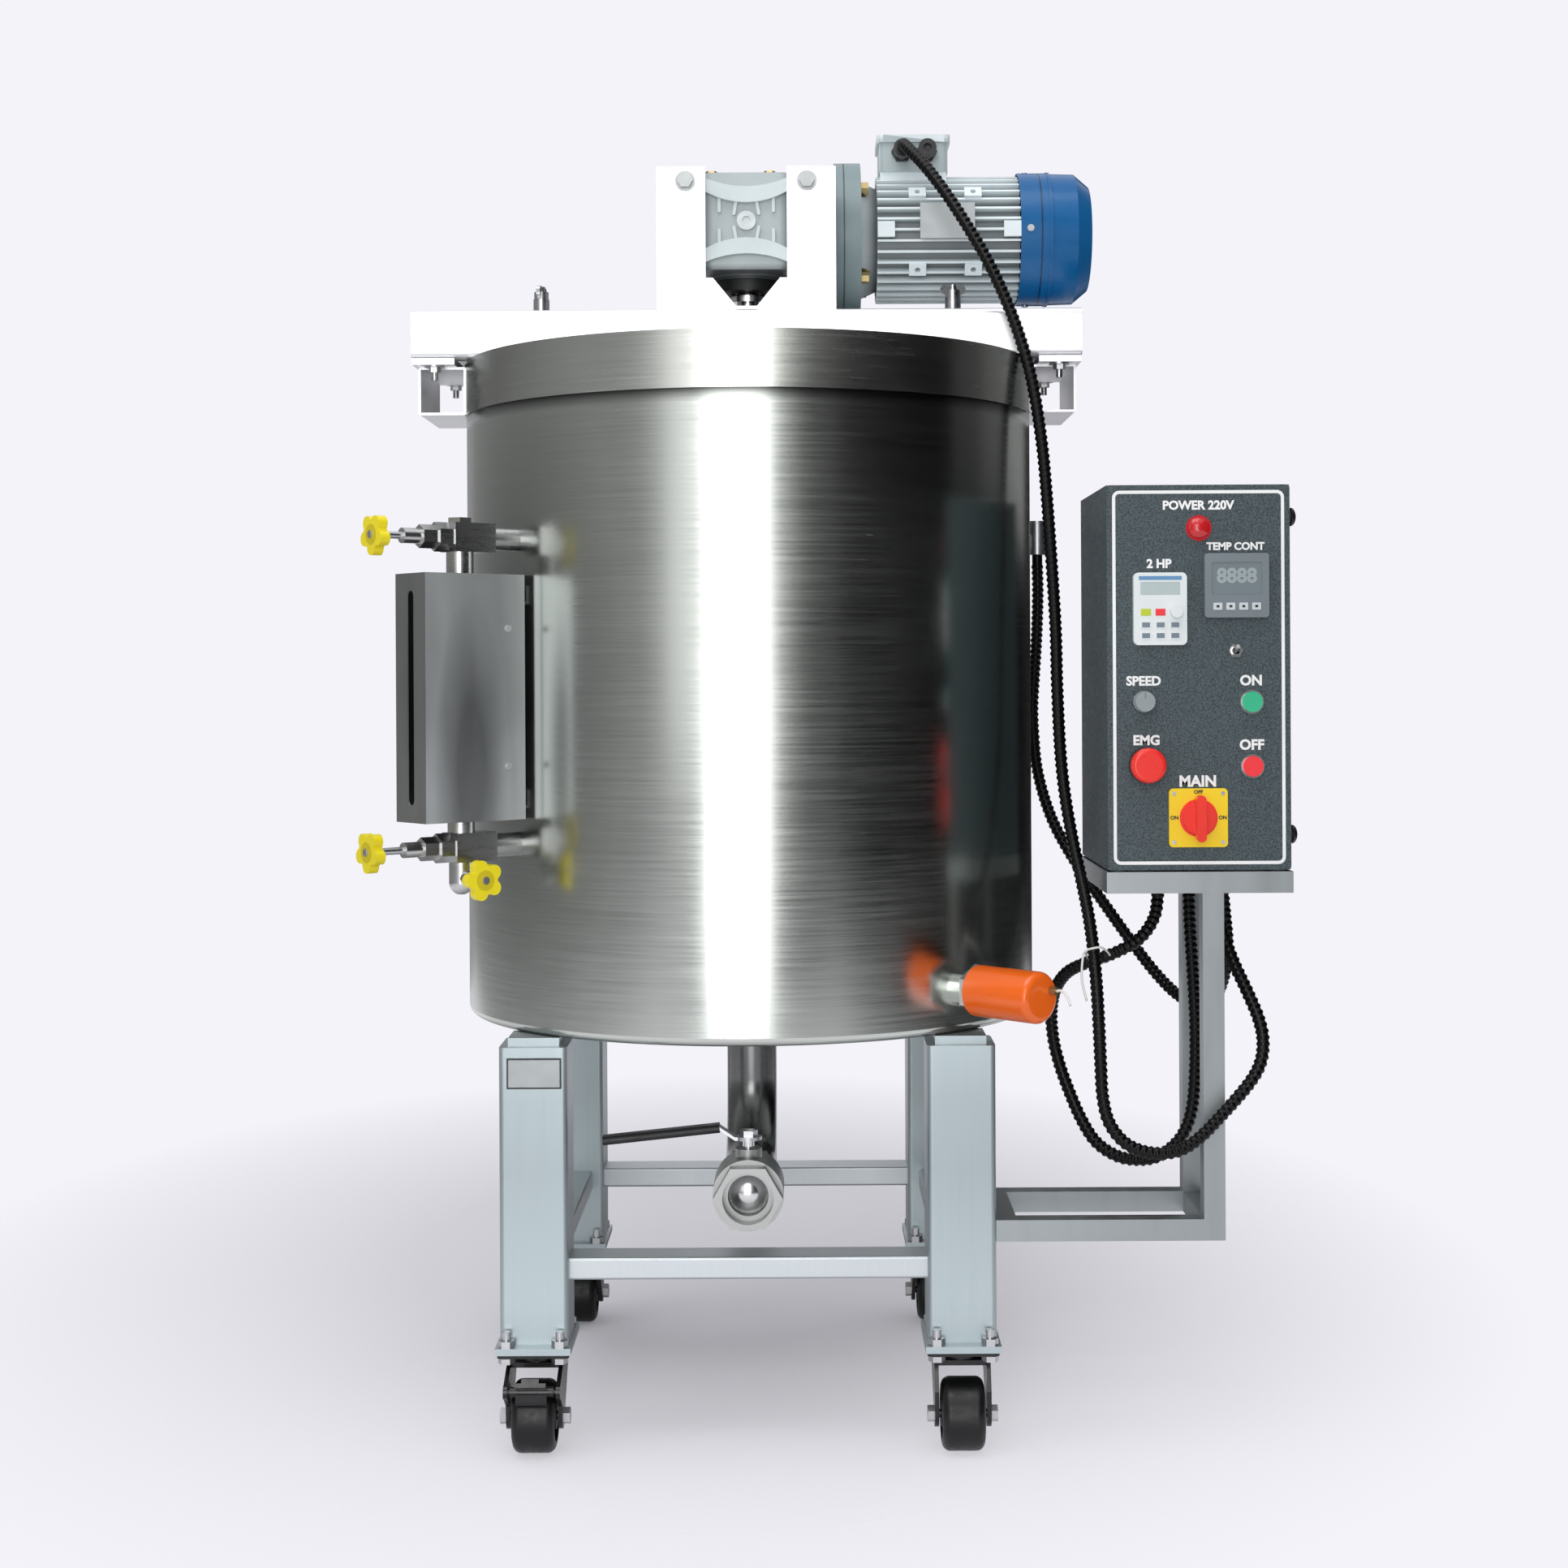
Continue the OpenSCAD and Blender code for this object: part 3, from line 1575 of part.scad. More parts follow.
module cable_glands() {
  color(black) {
    for (x = gland_x)
      translate([terminal_x + x, gland_face, terminal_z + gland_z])
        rotate([90, 0, 0])
          cable_gland(motor_gland_l);
    for (at = [motor_end, probe_end, heater_start, heater_end])
      translate([at[0], at[1], box_z])
        rotate([180, 0, 0])
          cable_gland(box_gland_t);
  }
  color(brass)
    at_heater()
      translate([-wire_gland_offset / 2, wire_gland_offset, heater_cap_end])
        hex_prism(wire_gland_af, wire_gland_l);
  // Probe in the vessel wall, with a head that turns its conduit downwards
  color(steel)
    rotate([0, 0, probe_angle])
      translate([0, 0, probe_z]) {
        translate([jacket_r - probe_in, 0, 0])
          along_x()
            cylinder(r = probe_r, h = probe_in + probe_head_r);
        translate([probe_head_at, 0, -probe_head_z])
          cylinder(r = probe_head_r, h = probe_head_l);
        translate([jacket_r, 0, 0])
          along_x()
            hex_prism(2 * probe_head_r, probe_head_r);
      }
}

// The two nipples where they pass through the jacket
module gauge_nipples() {
  for (z = [gauge_low_z, gauge_high_z])
    at_gauge()
      translate([jacket_in_r - nipple_in - gauge_axis_r, 0, z])
        along_x()
          cylinder(r = nipple_r, h = gauge_axis_r - jacket_in_r + nipple_in - block_back + over);
}

// Body of a gauge valve with its bonnet and packing nut, spindle along +X
module gauge_valve() {
  translate([-block_back, -block_w / 2, -block_w / 2])
    cube([block_back + block_front, block_w, block_w]);
  difference() {
    union() {
      translate([block_front - over, 0, 0])
        along_x()
          hex_prism(bonnet_af, bonnet_l + over);
      translate([block_front + bonnet_l - over, 0, 0])
        along_x()
          hex_prism(gland_nut_af, gland_nut_l + over);
      translate([block_front + bonnet_l + gland_nut_l - over, 0, 0])
        along_x()
          cylinder(r = gland_neck_r, h = gland_neck_l + over);
    }
    translate([packing_end - 2 * gland_neck_l, 0, 0])
      along_x()
        cylinder(r = spindle_r + fit, h = 2 * gland_neck_l + over);
  }
}

module gauge_valves() {
  low_top = gauge_low_z + block_w / 2;
  high_bottom = gauge_high_z - block_w / 2;
  color(steel) {
    gauge_nipples();
    at_gauge() {
      for (z = [gauge_low_z, gauge_high_z])
        translate([0, 0, z])
          gauge_valve();
      translate([0, 0, gauge_high_z + block_w / 2 - over])
        hex_prism(2 * plug_top_r, plug_top_h + over);
      // Sealing nuts round the glass
      difference() {
        union() {
          translate([0, 0, low_top - over])
            cylinder(r = seal_nut_r, h = low_seal_h + over);
          translate([0, 0, high_bottom - high_seal_h])
            cylinder(r = seal_nut_r, h = high_seal_h + over);
        }
        translate([0, 0, low_top + glass_in])
          cylinder(r = glass_r + fit, h = high_bottom - low_top - 2 * glass_in);
      }
      // Drain cock under the lower valve, its spindle across the gauge
      difference() {
        union() {
          translate([0, 0, gauge_low_z - block_w / 2 - cock_l + cock_r])
            cylinder(r = cock_r, h = cock_l - cock_r + over);
          translate([0, 0, gauge_low_z - block_w / 2 - cock_l + cock_r])
            sphere(r = cock_r);
          translate([0, 0, gauge_low_z - cock_wheel_drop])
            rotate([-90, 0, 0])
              cylinder(r = gland_neck_r, h = cock_neck_l);
        }
        translate([0, 0, gauge_low_z - cock_wheel_drop])
          rotate([-90, 0, 0])
            translate([0, 0, cock_neck_l - spindle_in])
              cylinder(r = spindle_r + fit, h = spindle_in + over);
        translate([0, 0, gauge_low_z - block_w / 2 - cock_l - over])
          cylinder(r = cock_bore_r, h = cock_r);
      }
    }
  }
}

module gauge_glass() {
  low = gauge_low_z + block_w / 2 + glass_in;
  high = gauge_high_z - block_w / 2 - glass_in;
  color(glass_tint)
    at_gauge()
      translate([0, 0, low])
        difference() {
          cylinder(r = glass_r, h = high - low);
          translate([0, 0, -over])
            cylinder(r = glass_r - glass_wall, h = high - low + 2 * over);
        }
}

// Slotted cover, its backing channel, the clips that hold it to the tank and four screws
module gauge_cover() {
  low = gauge_low_z + block_w / 2 + cover_low_gap;
  high = gauge_high_z - block_w / 2 - cover_high_gap;
  in_w = cover_w - 2 * cover_t_sheet;
  color(steel) {
    at_gauge() {
      difference() {
        translate([-cover_back, -cover_w / 2, low])
          cube([cover_back + cover_front, cover_w, high - low]);
        translate([-cover_back - over, -in_w / 2, low - over])
          cube([cover_back + cover_front - cover_t_sheet + over, in_w, high - low + 2 * over]);
        translate([cover_front - cover_t_sheet - over, 0, (low + high) / 2])
          swept_x(cover_t_sheet + 2 * over)
            rounded_rect(slot_w, high - low - 2 * slot_margin, slot_w / 2 - fit);
      }
      difference() {
        translate([-lap_back, -in_w / 2, low])
          cube([lap_back - cover_back + lap_w, in_w, high - low]);
        translate([cover_t_sheet - lap_back, cover_t_sheet - in_w / 2, low - over])
          cube([lap_back + lap_w, in_w - 2 * cover_t_sheet, high - low + 2 * over]);
      }
      for (share = [cover_screw_share, 1 - cover_screw_share], side = [0, 180])
        translate([lap_w / 2 - cover_back, 0, low + (high - low) * share])
          rotate([90 + side, 0, 0])
            translate([0, 0, cover_w / 2])
              cylinder(r = cover_screw_r, h = cover_screw_t);
    }
    difference() {
      at_gauge()
        for (z = [low + clip_end, high - clip_end - clip_h])
          difference() {
            translate([jacket_r / 2 - gauge_axis_r, -clip_w / 2, z])
              cube([gauge_axis_r - lap_back - jacket_r / 2, clip_w, clip_h]);
            translate([-gauge_axis_r, clip_t - clip_w / 2, z + clip_t])
              cube([gauge_axis_r - lap_back - clip_t, clip_w, clip_h]);
          }
      cylinder(r = jacket_r, h = rim_z);
    }
  }
}

// Five-lobed hand wheel on its spindle, axis up from the packing nut's face
module star_wheel(spindle_l, in_l) {
  color(steel)
    translate([0, 0, -in_l])
      cylinder(r = spindle_r, h = in_l + spindle_l + star_hub_l + star_t + over);
  color(yellow)
    translate([0, 0, spindle_l]) {
      cylinder(r = star_hub_r, h = star_hub_l + over);
      translate([0, 0, star_hub_l]) {
        cylinder(r = star_core_r, h = star_t);
        for (i = [0 : star_lobes - 1])
          rotate(i * 360 / star_lobes)
            translate([star_r - star_lobe_r, 0, 0])
              cylinder(r = star_lobe_r, h = star_t);
      }
    }
}

module upper_gauge_wheel() {
  at_gauge()
    translate([packing_end, 0, gauge_high_z])
      along_x()
        star_wheel(high_spindle_l, spindle_in);
}

module lower_gauge_wheel() {
  at_gauge()
    translate([packing_end, 0, gauge_low_z])
      along_x()
        star_wheel(low_spindle_l, spindle_in);
}

module gauge_drain_wheel() {
  at_gauge()
    translate([0, cock_neck_l, gauge_low_z - cock_wheel_drop])
      rotate([-90, 0, 0])
        star_wheel(cock_spindle_l, spindle_in - 2 * over);
}

module heater_element() {
  head = jacket_r + socket_l;
  color(steel)
    at_heater() {
      translate([0, 0, head])
        hex_prism(heater_hex_af, heater_hex_t);
      translate([0, 0, jacket_in_r - socket_in])
        cylinder(r = plug_thread_r, h = head - jacket_in_r + socket_in + over);
      translate([0, 0, head + heater_hex_t - over])
        cylinder(r = terminal_stub_r, h = terminal_stub_l);
      for (y = [-element_y, element_y])
        translate([0, y, element_in])
          cylinder(r = element_r, h = jacket_in_r - socket_in - element_in + over);
      translate([0, 0, element_in])
        rotate([0, 90, 180])
          rotate_extrude(angle = 180)
            translate([element_y, 0])
              circle(r = element_r);
    }
}

module heater_cap() {
  base = jacket_r + socket_l + heater_hex_t;
  inner = cap_r - cap_wall;
  color(orange)
    at_heater()
      translate([0, 0, base])
        rotate_extrude()
          polygon(concat(
            [[inner, 0], [cap_r, 0]],
            arc([cap_r - cap_round, cap_l - cap_round], cap_round, 0, 90),
            [[0, cap_l], [0, cap_l - cap_wall], [inner, cap_l - cap_wall]]
          ));
}

module pipe_section() {
  difference() {
    circle(r = pipe_r);
    circle(r = pipe_r - pipe_wall);
  }
}

module drain_pipe() {
  top = vessel_z + vessel_wall;
  bend_z = drain_z + elbow_r;
  color(steel) {
    translate([0, 0, bend_z])
      linear_extrude(top - bend_z)
        pipe_section();
    translate([0, -elbow_r, bend_z])
      rotate([0, 90, 0])
        rotate([0, 0, 90])
          rotate_extrude(angle = -90)
            translate([elbow_r, 0])
              pipe_section();
    translate([0, -elbow_r, drain_z])
      rotate([90, 0, 0])
        linear_extrude(valve_y - valve_half_l + pipe_socket_l - elbow_r)
          pipe_section();
  }
}

// Frame of the ball valve: origin at the ball, axis of the flow along -Y
module at_valve() {
  translate([0, -valve_y, drain_z])
    children();
}

module drain_valve_body() {
  color(steel)
    at_valve()
      difference() {
        union() {
          rotate([90, 0, 0])
            translate([0, 0, -valve_half_l])
              hex_prism(valve_hex_af, 2 * valve_half_l);
          rotate([90, 0, 0])
            translate([0, 0, -valve_body_half])
              cylinder(r = valve_body_r, h = 2 * valve_body_half);
          cylinder(r = bonnet_r, h = bonnet_top);
        }
        sphere(r = ball_r + ball_fit);
        rotate([90, 0, 0])
          translate([0, 0, -valve_half_l])
            cylinder(r = port_r, h = 2 * valve_half_l);
        rotate([90, 0, 0])
          translate([0, 0, valve_half_l - mouth_l])
            cylinder(r = mouth_r, h = mouth_l + over);
        rotate([-90, 0, 0])
          translate([0, 0, valve_half_l - pipe_socket_l])
            cylinder(r = pipe_r, h = pipe_socket_l + over);
        cylinder(r = stem_r + fit, h = bonnet_top + over);
      }
}

module drain_ball() {
  color(light_steel)
    at_valve() {
      difference() {
        sphere(r = ball_r);
        translate([-ball_r - over, 0, 0])
          along_x()
            cylinder(r = port_r - 2 * over, h = 2 * (ball_r + over));
      }
      translate([0, 0, ball_r - 2 * over])
        cylinder(r = stem_r, h = stem_top - ball_r + over);
    }
}

// Side view of the lever's strip, rising from its hub and drooping to its tip
module lever_outline() {
  t = lever_t;
  polygon([
    [lever_hub_r, 0], [0, 0], [0, t], [lever_hub_r, t], [lever_bend, lever_lift + t],
    [lever_l, lever_lift - lever_droop + t], [lever_l, lever_lift - lever_droop], [lever_bend, lever_lift]
  ]);
}

module drain_lever() {
  slope = atan2(lever_droop, lever_l - lever_bend);
  sleeve_l = norm([lever_l - lever_bend, lever_droop]);
  at_valve() {
    color(steel)
      difference() {
        union() {
          translate([0, lever_w / 2, lever_z])
            rotate([90, 0, 0])
              mirror([1, 0, 0])
                linear_extrude(lever_w)
                  lever_outline();
          translate([0, 0, lever_z])
            cylinder(r = lever_hub_r, h = lever_t);
          translate([0, 0, lever_z + lever_t - over])
            hex_prism(stem_nut_af, stem_nut_t + over);
        }
        translate([0, 0, lever_z - over])
          cylinder(r = stem_r, h = stem_top + over);
      }
    // Dipped sleeve round the strip
    color(black)
      translate([-lever_bend, 0, lever_z + lever_lift + lever_t / 2])
        rotate([0, -90 - slope, 0])
          difference() {
            linear_extrude(sleeve_l + sleeve_wall)
              rounded_rect(sleeve_h, sleeve_w, sleeve_h / 2 - fit);
            translate([0, 0, -over])
              linear_extrude(sleeve_l + over)
                square([lever_t + fit, lever_w + fit], center = true);
          }
  }
}

// Square tube of the stand, from a corner along X, Y or Z
module stand_tube() {
  difference() {
    square(tube_w, center = true);
    square(tube_w - 2 * tube_wall, center = true);
  }
}

module tube_along_x(at, l) {
  translate(at + [0, tube_w / 2, tube_w / 2])
    swept_x(l)
      stand_tube();
}

module tube_along_y(at, l) {
  translate(at + [tube_w / 2, l, tube_w / 2])
    rotate([90, 0, 0])
      linear_extrude(l)
        stand_tube();
}

module tube_along_z(at, l) {
  translate(at + [tube_w / 2, tube_w / 2, 0])
    linear_extrude(l)
      stand_tube();
}

module stand_frame() {
  gap = rear_arm_y - arm_y - tube_w;
  tray_x = box_x - tray_margin;
  tray_y = box_y - tray_margin;
  tray_w = box_w + 2 * tray_margin;
  tray_d = box_d + tray_margin;
  ledge = tray_h;
  color(light_steel) {
    for (y = [arm_y, rear_arm_y]) {
      tube_along_x([arm_x, y, arm_z], post_x - arm_x);
      tube_along_z([post_x, y, arm_z], tray_z - arm_z + tray_wall / 2);
    }
    tube_along_y([arm_x, arm_y + tube_w, arm_z], gap);
    tube_along_y([post_x, arm_y + tube_w, arm_z], gap);
    // Angle-iron tray with its flat ledge uppermost
    difference() {
      translate([tray_x, tray_y, tray_z])
        cube([tray_w, tray_d, tray_h]);
      translate([tray_x + tray_wall, tray_y + tray_wall, tray_z - over])
        cube([tray_w - 2 * tray_wall, tray_d - 2 * tray_wall, tray_h - tray_wall + over]);
      translate([tray_x + ledge, tray_y + ledge, tray_z])
        cube([tray_w - 2 * ledge, tray_d - 2 * ledge, tray_h + over]);
    }
    // Cross bars that seat the tray on the posts
    for (y = [arm_y, rear_arm_y])
      translate([tray_x + tray_wall / 2, y + tube_wall / 2, tray_z])
        cube([tray_w - tray_wall, tube_w - tube_wall, tray_wall]);
  }
}

module control_box() {
  in_w = box_w - 2 * box_wall;
  in_h = box_h - 2 * box_wall;
  depth = box_back - box_front;
  color(dark_grey) {
    difference() {
      translate([box_x, box_front, box_z])
        cube([box_w, depth, box_h]);
      translate([box_x + box_wall, box_front + box_wall, box_z + box_wall])
        cube([in_w, depth - 2 * box_wall, in_h]);
      translate([box_x + box_wall + box_lip, box_front - over, box_z + box_wall + box_lip])
        cube([in_w - 2 * box_lip, box_wall + 2 * over, in_h - 2 * box_lip]);
    }
    for (x = [box_foot_inset, box_w - box_foot_inset], y = [box_foot_inset, box_d - box_foot_inset])
      translate([box_x + x, box_y + y, box_z - box_foot])
        cylinder(r = box_foot_r, h = box_foot + box_wall / 2);
  }
}

module side_plugs() {
  color(black)
    for (share = side_plug_shares)
      translate([box_x + box_w, box_y + side_plug_in, box_z + box_h * share])
        along_x() {
          cylinder(r = side_plug_neck_r, h = side_plug_neck + over);
          translate([0, 0, side_plug_neck])
            rotate_extrude()
              polygon(concat(
                [[0, 0], [side_plug_r, 0]],
                [for (i = [1 : arc_steps - 1])
                  [side_plug_r * cos(90 * i / arc_steps), side_plug_t * sin(90 * i / arc_steps)]],
                [[0, side_plug_t]]
              ));
        }
}

// Mounting plate with the motor drive, the heater's relay and the terminal rail
module drive_unit() {
  plate_y = box_back - box_wall - mount_plate_off;
  low_x = box_x + plate_inset;
  low_z = box_z + plate_inset;
  w = box_w - 2 * plate_inset;
  h = box_h - 2 * plate_inset;
  color(light_steel) {
    translate([low_x, plate_y - mount_plate_t, low_z])
      cube([w, mount_plate_t, h]);
    for (x = [plate_inset, w - plate_inset], z = [plate_inset, h - plate_inset])
      translate([low_x + x, plate_y + mount_plate_off, low_z + z])
        rotate([90, 0, 0])
          cylinder(r = m8_r, h = mount_plate_off);
  }
  color(dark_grey)
    for (unit = [[drive_shares, drive_w, drive_h, drive_d], [relay_shares, relay_w, relay_h, relay_d],
           [rail_block_shares, rail_block_w, rail_block_h, rail_block_d]])
      translate([low_x + w * unit[0][0], plate_y - mount_plate_t - unit[3], low_z + h * unit[0][1]])
        cube([unit[1], unit[3], unit[2]]);
}

// Round or square hole through the door
module door_hole(shares, r) {
  on_panel(shares)
    translate([0, 0, -door_t - over])
      cylinder(r = r, h = door_t + 2 * over);
}

module door_cutout(shares, w, h) {
  on_panel(shares)
    translate([-w / 2, -h / 2, -door_t - over])
      cube([w, h, door_t + 2 * over]);
}

module box_door() {
  color(dark_grey)
    difference() {
      translate([box_x + box_w / 2, box_y + door_t, box_z + box_h / 2])
        rotate([90, 0, 0])
          linear_extrude(door_t)
            rounded_rect(box_w, box_h, door_edge_r);
      for (shares = [lamp_shares, on_shares, off_shares, stop_shares, main_shares])
        door_hole(shares, barrel_r);
      door_hole(speed_shares, toggle_bush_r);
      door_hole(toggle_shares, toggle_bush_r);
      door_cutout(controller_shares, controller_body_w, controller_body_w);
      door_cutout(keypad_shares, keypad_w - 2 * keypad_body_margin, keypad_h - 2 * keypad_body_margin);
    }
}

module temperature_controller() {
  color(dark_grey)
    on_panel(controller_shares) {
      difference() {
        linear_extrude(controller_t)
          rounded_rect(controller_w, controller_w, controller_edge_r);
        translate([0, controller_window_drop, controller_t - controller_window_t])
          linear_extrude(controller_window_t + over)
            rounded_rect(controller_window_w, controller_window_h, controller_edge_r / 2);
      }
      translate([-controller_body_w / 2, -controller_body_w / 2, -controller_depth])
        cube([controller_body_w, controller_body_w, controller_depth + over]);
    }
}

module drive_keypad() {
  low = [-keypad_w / 2, -keypad_h / 2];
  body = 2 * keypad_body_margin;
  color(white)
    on_panel(keypad_shares) {
      difference() {
        linear_extrude(keypad_t)
          rounded_rect(keypad_w, keypad_h, keypad_edge_r);
        translate([low[0] + keypad_w * keypad_screen_shares[0], low[1] + keypad_h * keypad_screen_shares[1],
              keypad_t - keypad_recess])
          linear_extrude(keypad_recess + over)
            square([keypad_screen_w, keypad_screen_h], center = true);
        translate([low[0] + keypad_w * keypad_knob_shares[0], low[1] + keypad_h * keypad_knob_shares[1], 0])
          cylinder(r = keypad_axle_r + fit, h = keypad_t + over);
      }
      translate([-(keypad_w - body) / 2, -(keypad_h - body) / 2, -keypad_depth])
        cube([keypad_w - body, keypad_h - body, keypad_depth + over]);
      for (i = [-1 : 1], j = [0 : 1])
        translate([i * key_pitch_x, low[1] + keypad_h * key_low_share + j * key_pitch_y, keypad_t - over])
          linear_extrude(key_t + over)
            rounded_rect(key_w, key_h, key_t);
    }
}

module keypad_knob() {
  color(light_steel)
    on_panel(keypad_shares)
      translate([keypad_w * (keypad_knob_shares[0] - 1 / 2), keypad_h * (keypad_knob_shares[1] - 1 / 2), 0]) {
        translate([0, 0, keypad_t + air])
          cylinder(r = keypad_knob_r, h = keypad_knob_t);
        translate([0, 0, over])
          cylinder(r = keypad_axle_r, h = keypad_t);
      }
}

module pilot_lamp() {
  color(steel)
    on_panel(lamp_shares) {
      cylinder(r = lamp_r, h = lamp_ring_t);
      translate([0, 0, -barrel_l])
        cylinder(r = barrel_r, h = barrel_l + over);
    }
  color(red)
    on_panel(lamp_shares)
      translate([0, 0, lamp_ring_t])
        rotate_extrude()
          polygon(concat(
            [[0, -over], [lamp_dome_r, -over]],
            [for (i = [0 : arc_steps - 1])
              [lamp_dome_r * cos(90 * i / arc_steps), lamp_dome_h * sin(90 * i / arc_steps)]],
            [[0, lamp_dome_h]]
          ));
}

// Fixed rings, barrels and plates that hold the moving controls
module control_bezels() {
  color(steel)
    for (shares = [on_shares, off_shares])
      on_panel(shares)
        button_barrel(bezel_r, bezel_t, button_cap_r);
  color(black)
    on_panel(stop_shares)
      button_barrel(stop_ring_r, stop_ring_t, button_r);
  color(yellow)
    on_panel(main_shares) {
      difference() {
        linear_extrude(switch_t)
          rounded_rect(switch_w, switch_w, switch_edge_r);
        translate([0, 0, -over])
          cylinder(r = switch_axle_r + fit, h = switch_t + 2 * over);
      }
      difference() {
        translate([0, 0, -barrel_l])
          cylinder(r = barrel_r, h = barrel_l + over);
        translate([0, 0, -barrel_l / 2])
          cylinder(r = switch_axle_r + fit, h = barrel_l);
      }
    }
  color(steel)
    on_panel(toggle_shares)
      difference() {
        union() {
          hex_prism(2 * toggle_nut_r, toggle_nut_t);
          translate([0, 0, -toggle_bush_l])
            cylinder(r = toggle_bush_r, h = 2 * toggle_bush_l);
          translate([0, 0, -barrel_l / 2])
            cylinder(r = toggle_nut_r, h = barrel_l / 2 - door_t);
        }
        translate([0, 0, -barrel_l / 4])
          cylinder(r = toggle_bore_r, h = barrel_l);
      }
  color(black)
    on_panel(speed_shares)
      difference() {
        union() {
          translate([0, 0, -barrel_l / 2])
            cylinder(r = barrel_r, h = barrel_l / 2 - door_t);
          translate([0, 0, -barrel_l / 4])
            cylinder(r = toggle_bush_r, h = barrel_l / 4 + over);
        }
        translate([0, 0, -barrel_l / 4])
          cylinder(r = speed_axle_r + fit, h = barrel_l);
      }
}

// Ring and barrel of a push control, bored for its plunger
module button_barrel(ring_r, ring_t, cap_r) {
  difference() {
    union() {
      cylinder(r = ring_r, h = ring_t);
      translate([0, 0, -barrel_l])
        cylinder(r = barrel_r, h = barrel_l + over);
    }
    translate([0, 0, -button_in - 2 * button_travel])
      cylinder(r = button_r + fit, h = barrel_l);
    if (cap_r > button_r)
      translate([0, 0, bezel_floor])
        cylinder(r = cap_r + air, h = ring_t);
  }
}

module push_button() {
  translate([0, 0, -button_in])
    cylinder(r = button_r, h = button_in + button_out);
  translate([0, 0, button_out - button_cap_t])
    cylinder(r = button_cap_r, h = button_cap_t);
}

module on_button() {
  color(green)
    on_panel(on_shares)
      push_button();
}

module off_button() {
  color(red)
    on_panel(off_shares)
      push_button();
}

module emergency_stop() {
  color(red)
    on_panel(stop_shares) {
      translate([0, 0, -button_in])
        cylinder(r = stop_neck_r, h = button_in + stop_ring_t + stop_gap + over);
      translate([0, 0, stop_ring_t + stop_gap])
        rotate_extrude()
          polygon(concat(
            [[0, 0], [stop_r, 0]],
            arc([stop_r - stop_round, stop_head_t - stop_round], stop_round, 0, 90),
            [[0, stop_head_t]]
          ));
    }
}

module main_switch() {
  color(red)
    on_panel(main_shares) {
      translate([0, 0, -barrel_l / 4])
        cylinder(r = switch_axle_r, h = barrel_l / 4 + switch_t + switch_hub_t);
      translate([0, 0, switch_t + air])
        cylinder(r = switch_ring_r, h = switch_ring_t);
      translate([0, 0, switch_t + air])
        cylinder(r = switch_hub_r, h = switch_hub_t);
      translate([0, 0, switch_t + switch_hub_t])
        linear_extrude(switch_grip_t)
          rounded_rect(switch_grip_w, switch_grip_l, switch_grip_w / 2 - fit);
    }
}

module speed_knob() {
  color(cast_grey)
    on_panel(speed_shares) {
      translate([0, 0, over + air])
        cylinder(r = speed_skirt_r, h = speed_skirt_t);
      translate([0, 0, over + air])
        difference() {
          cylinder(r = speed_knob_r, h = speed_knob_t);
          translate([-speed_mark_w / 2, speed_knob_r / 3, speed_knob_t - speed_mark_w])
            cube([speed_mark_w, speed_knob_r, speed_knob_t]);
        }
      translate([0, 0, -barrel_l / 4 + over])
        cylinder(r = speed_axle_r, h = barrel_l / 4 + speed_knob_t / 2);
    }
}

module toggle_lever() {
  color(steel)
    on_panel(toggle_shares)
      rotate([-toggle_tilt, 0, 0]) {
        sphere(r = toggle_ball_r);
        translate([air - toggle_bore_r, 0, 0])
          along_x()
            cylinder(r = toggle_pin_r, h = 2 * toggle_bore_r - 2 * air);
        cylinder(r = toggle_lever_r, h = toggle_lever_l);
        translate([0, 0, toggle_lever_l])
          sphere(r = toggle_tip_r);
      }
}

// Smooth route through the chosen points, a few steps between each pair
function route_point(p, i, t) =
  let (
    a = p[max(i - 1, 0)],
    b = p[i],
    c = p[i + 1],
    d = p[min(i + 2, len(p) - 1)]
  )
  (2 * b + (c - a) * t + (2 * a - 5 * b + 4 * c - d) * t * t + (3 * b - a - 3 * c + d) * t * t * t) / 2;

function smooth_route(p) =
  concat([for (i = [0 : len(p) - 2], k = [0 : route_steps - 1]) route_point(p, i, k / route_steps)],
      [p[len(p) - 1]]);

// Lengths along a list of points, from its start
function lengths(p, i = 0, so_far = 0, found = []) =
  i == len(p) ? found :
  let (here = i == 0 ? 0 : so_far + norm(p[i] - p[i - 1]))
  lengths(p, i + 1, here, concat(found, [here]));

function route_at(p, s, at) =
  [for (k = [0 : 2]) lookup(at, [for (i = [0 : len(p) - 1]) [s[i], p[i][k]]])];

function unit(v) = v / norm(v);

// Normals carried along a tube, so that its rings don't twist
function carried(t, i = 0, found = []) =
  i == len(t) ? found :
  let (
    start = abs(t[0][0]) < 0.7 ? [1, 0, 0] : [0, 0, 1],
    before = i == 0 ? start : found[i - 1],
    n = unit(before - (before * t[i]) * t[i])
  )
  carried(t, i + 1, concat(found, [n]));

function ring(at, n, t, r) =
  let (b = cross(t, n))
  [for (k = [0 : conduit_sides - 1]) let (a = k * 360 / conduit_sides) at + r * (cos(a) * n + sin(a) * b)];

// Triangles between rings; the first ring's number, the count of rings and which way they face
function wall_faces(first, rings, outward) =
  [for (i = [0 : rings - 2], k = [0 : conduit_sides - 1], half = [0, 1])
    let (
      a = first + i * conduit_sides + k,
      b = first + i * conduit_sides + (k + 1) % conduit_sides,
      c = a + conduit_sides,
      d = b + conduit_sides,
      f = half == 0 ? [a, c, b] : [b, c, d]
    )
    outward ? f : [f[2], f[1], f[0]]];

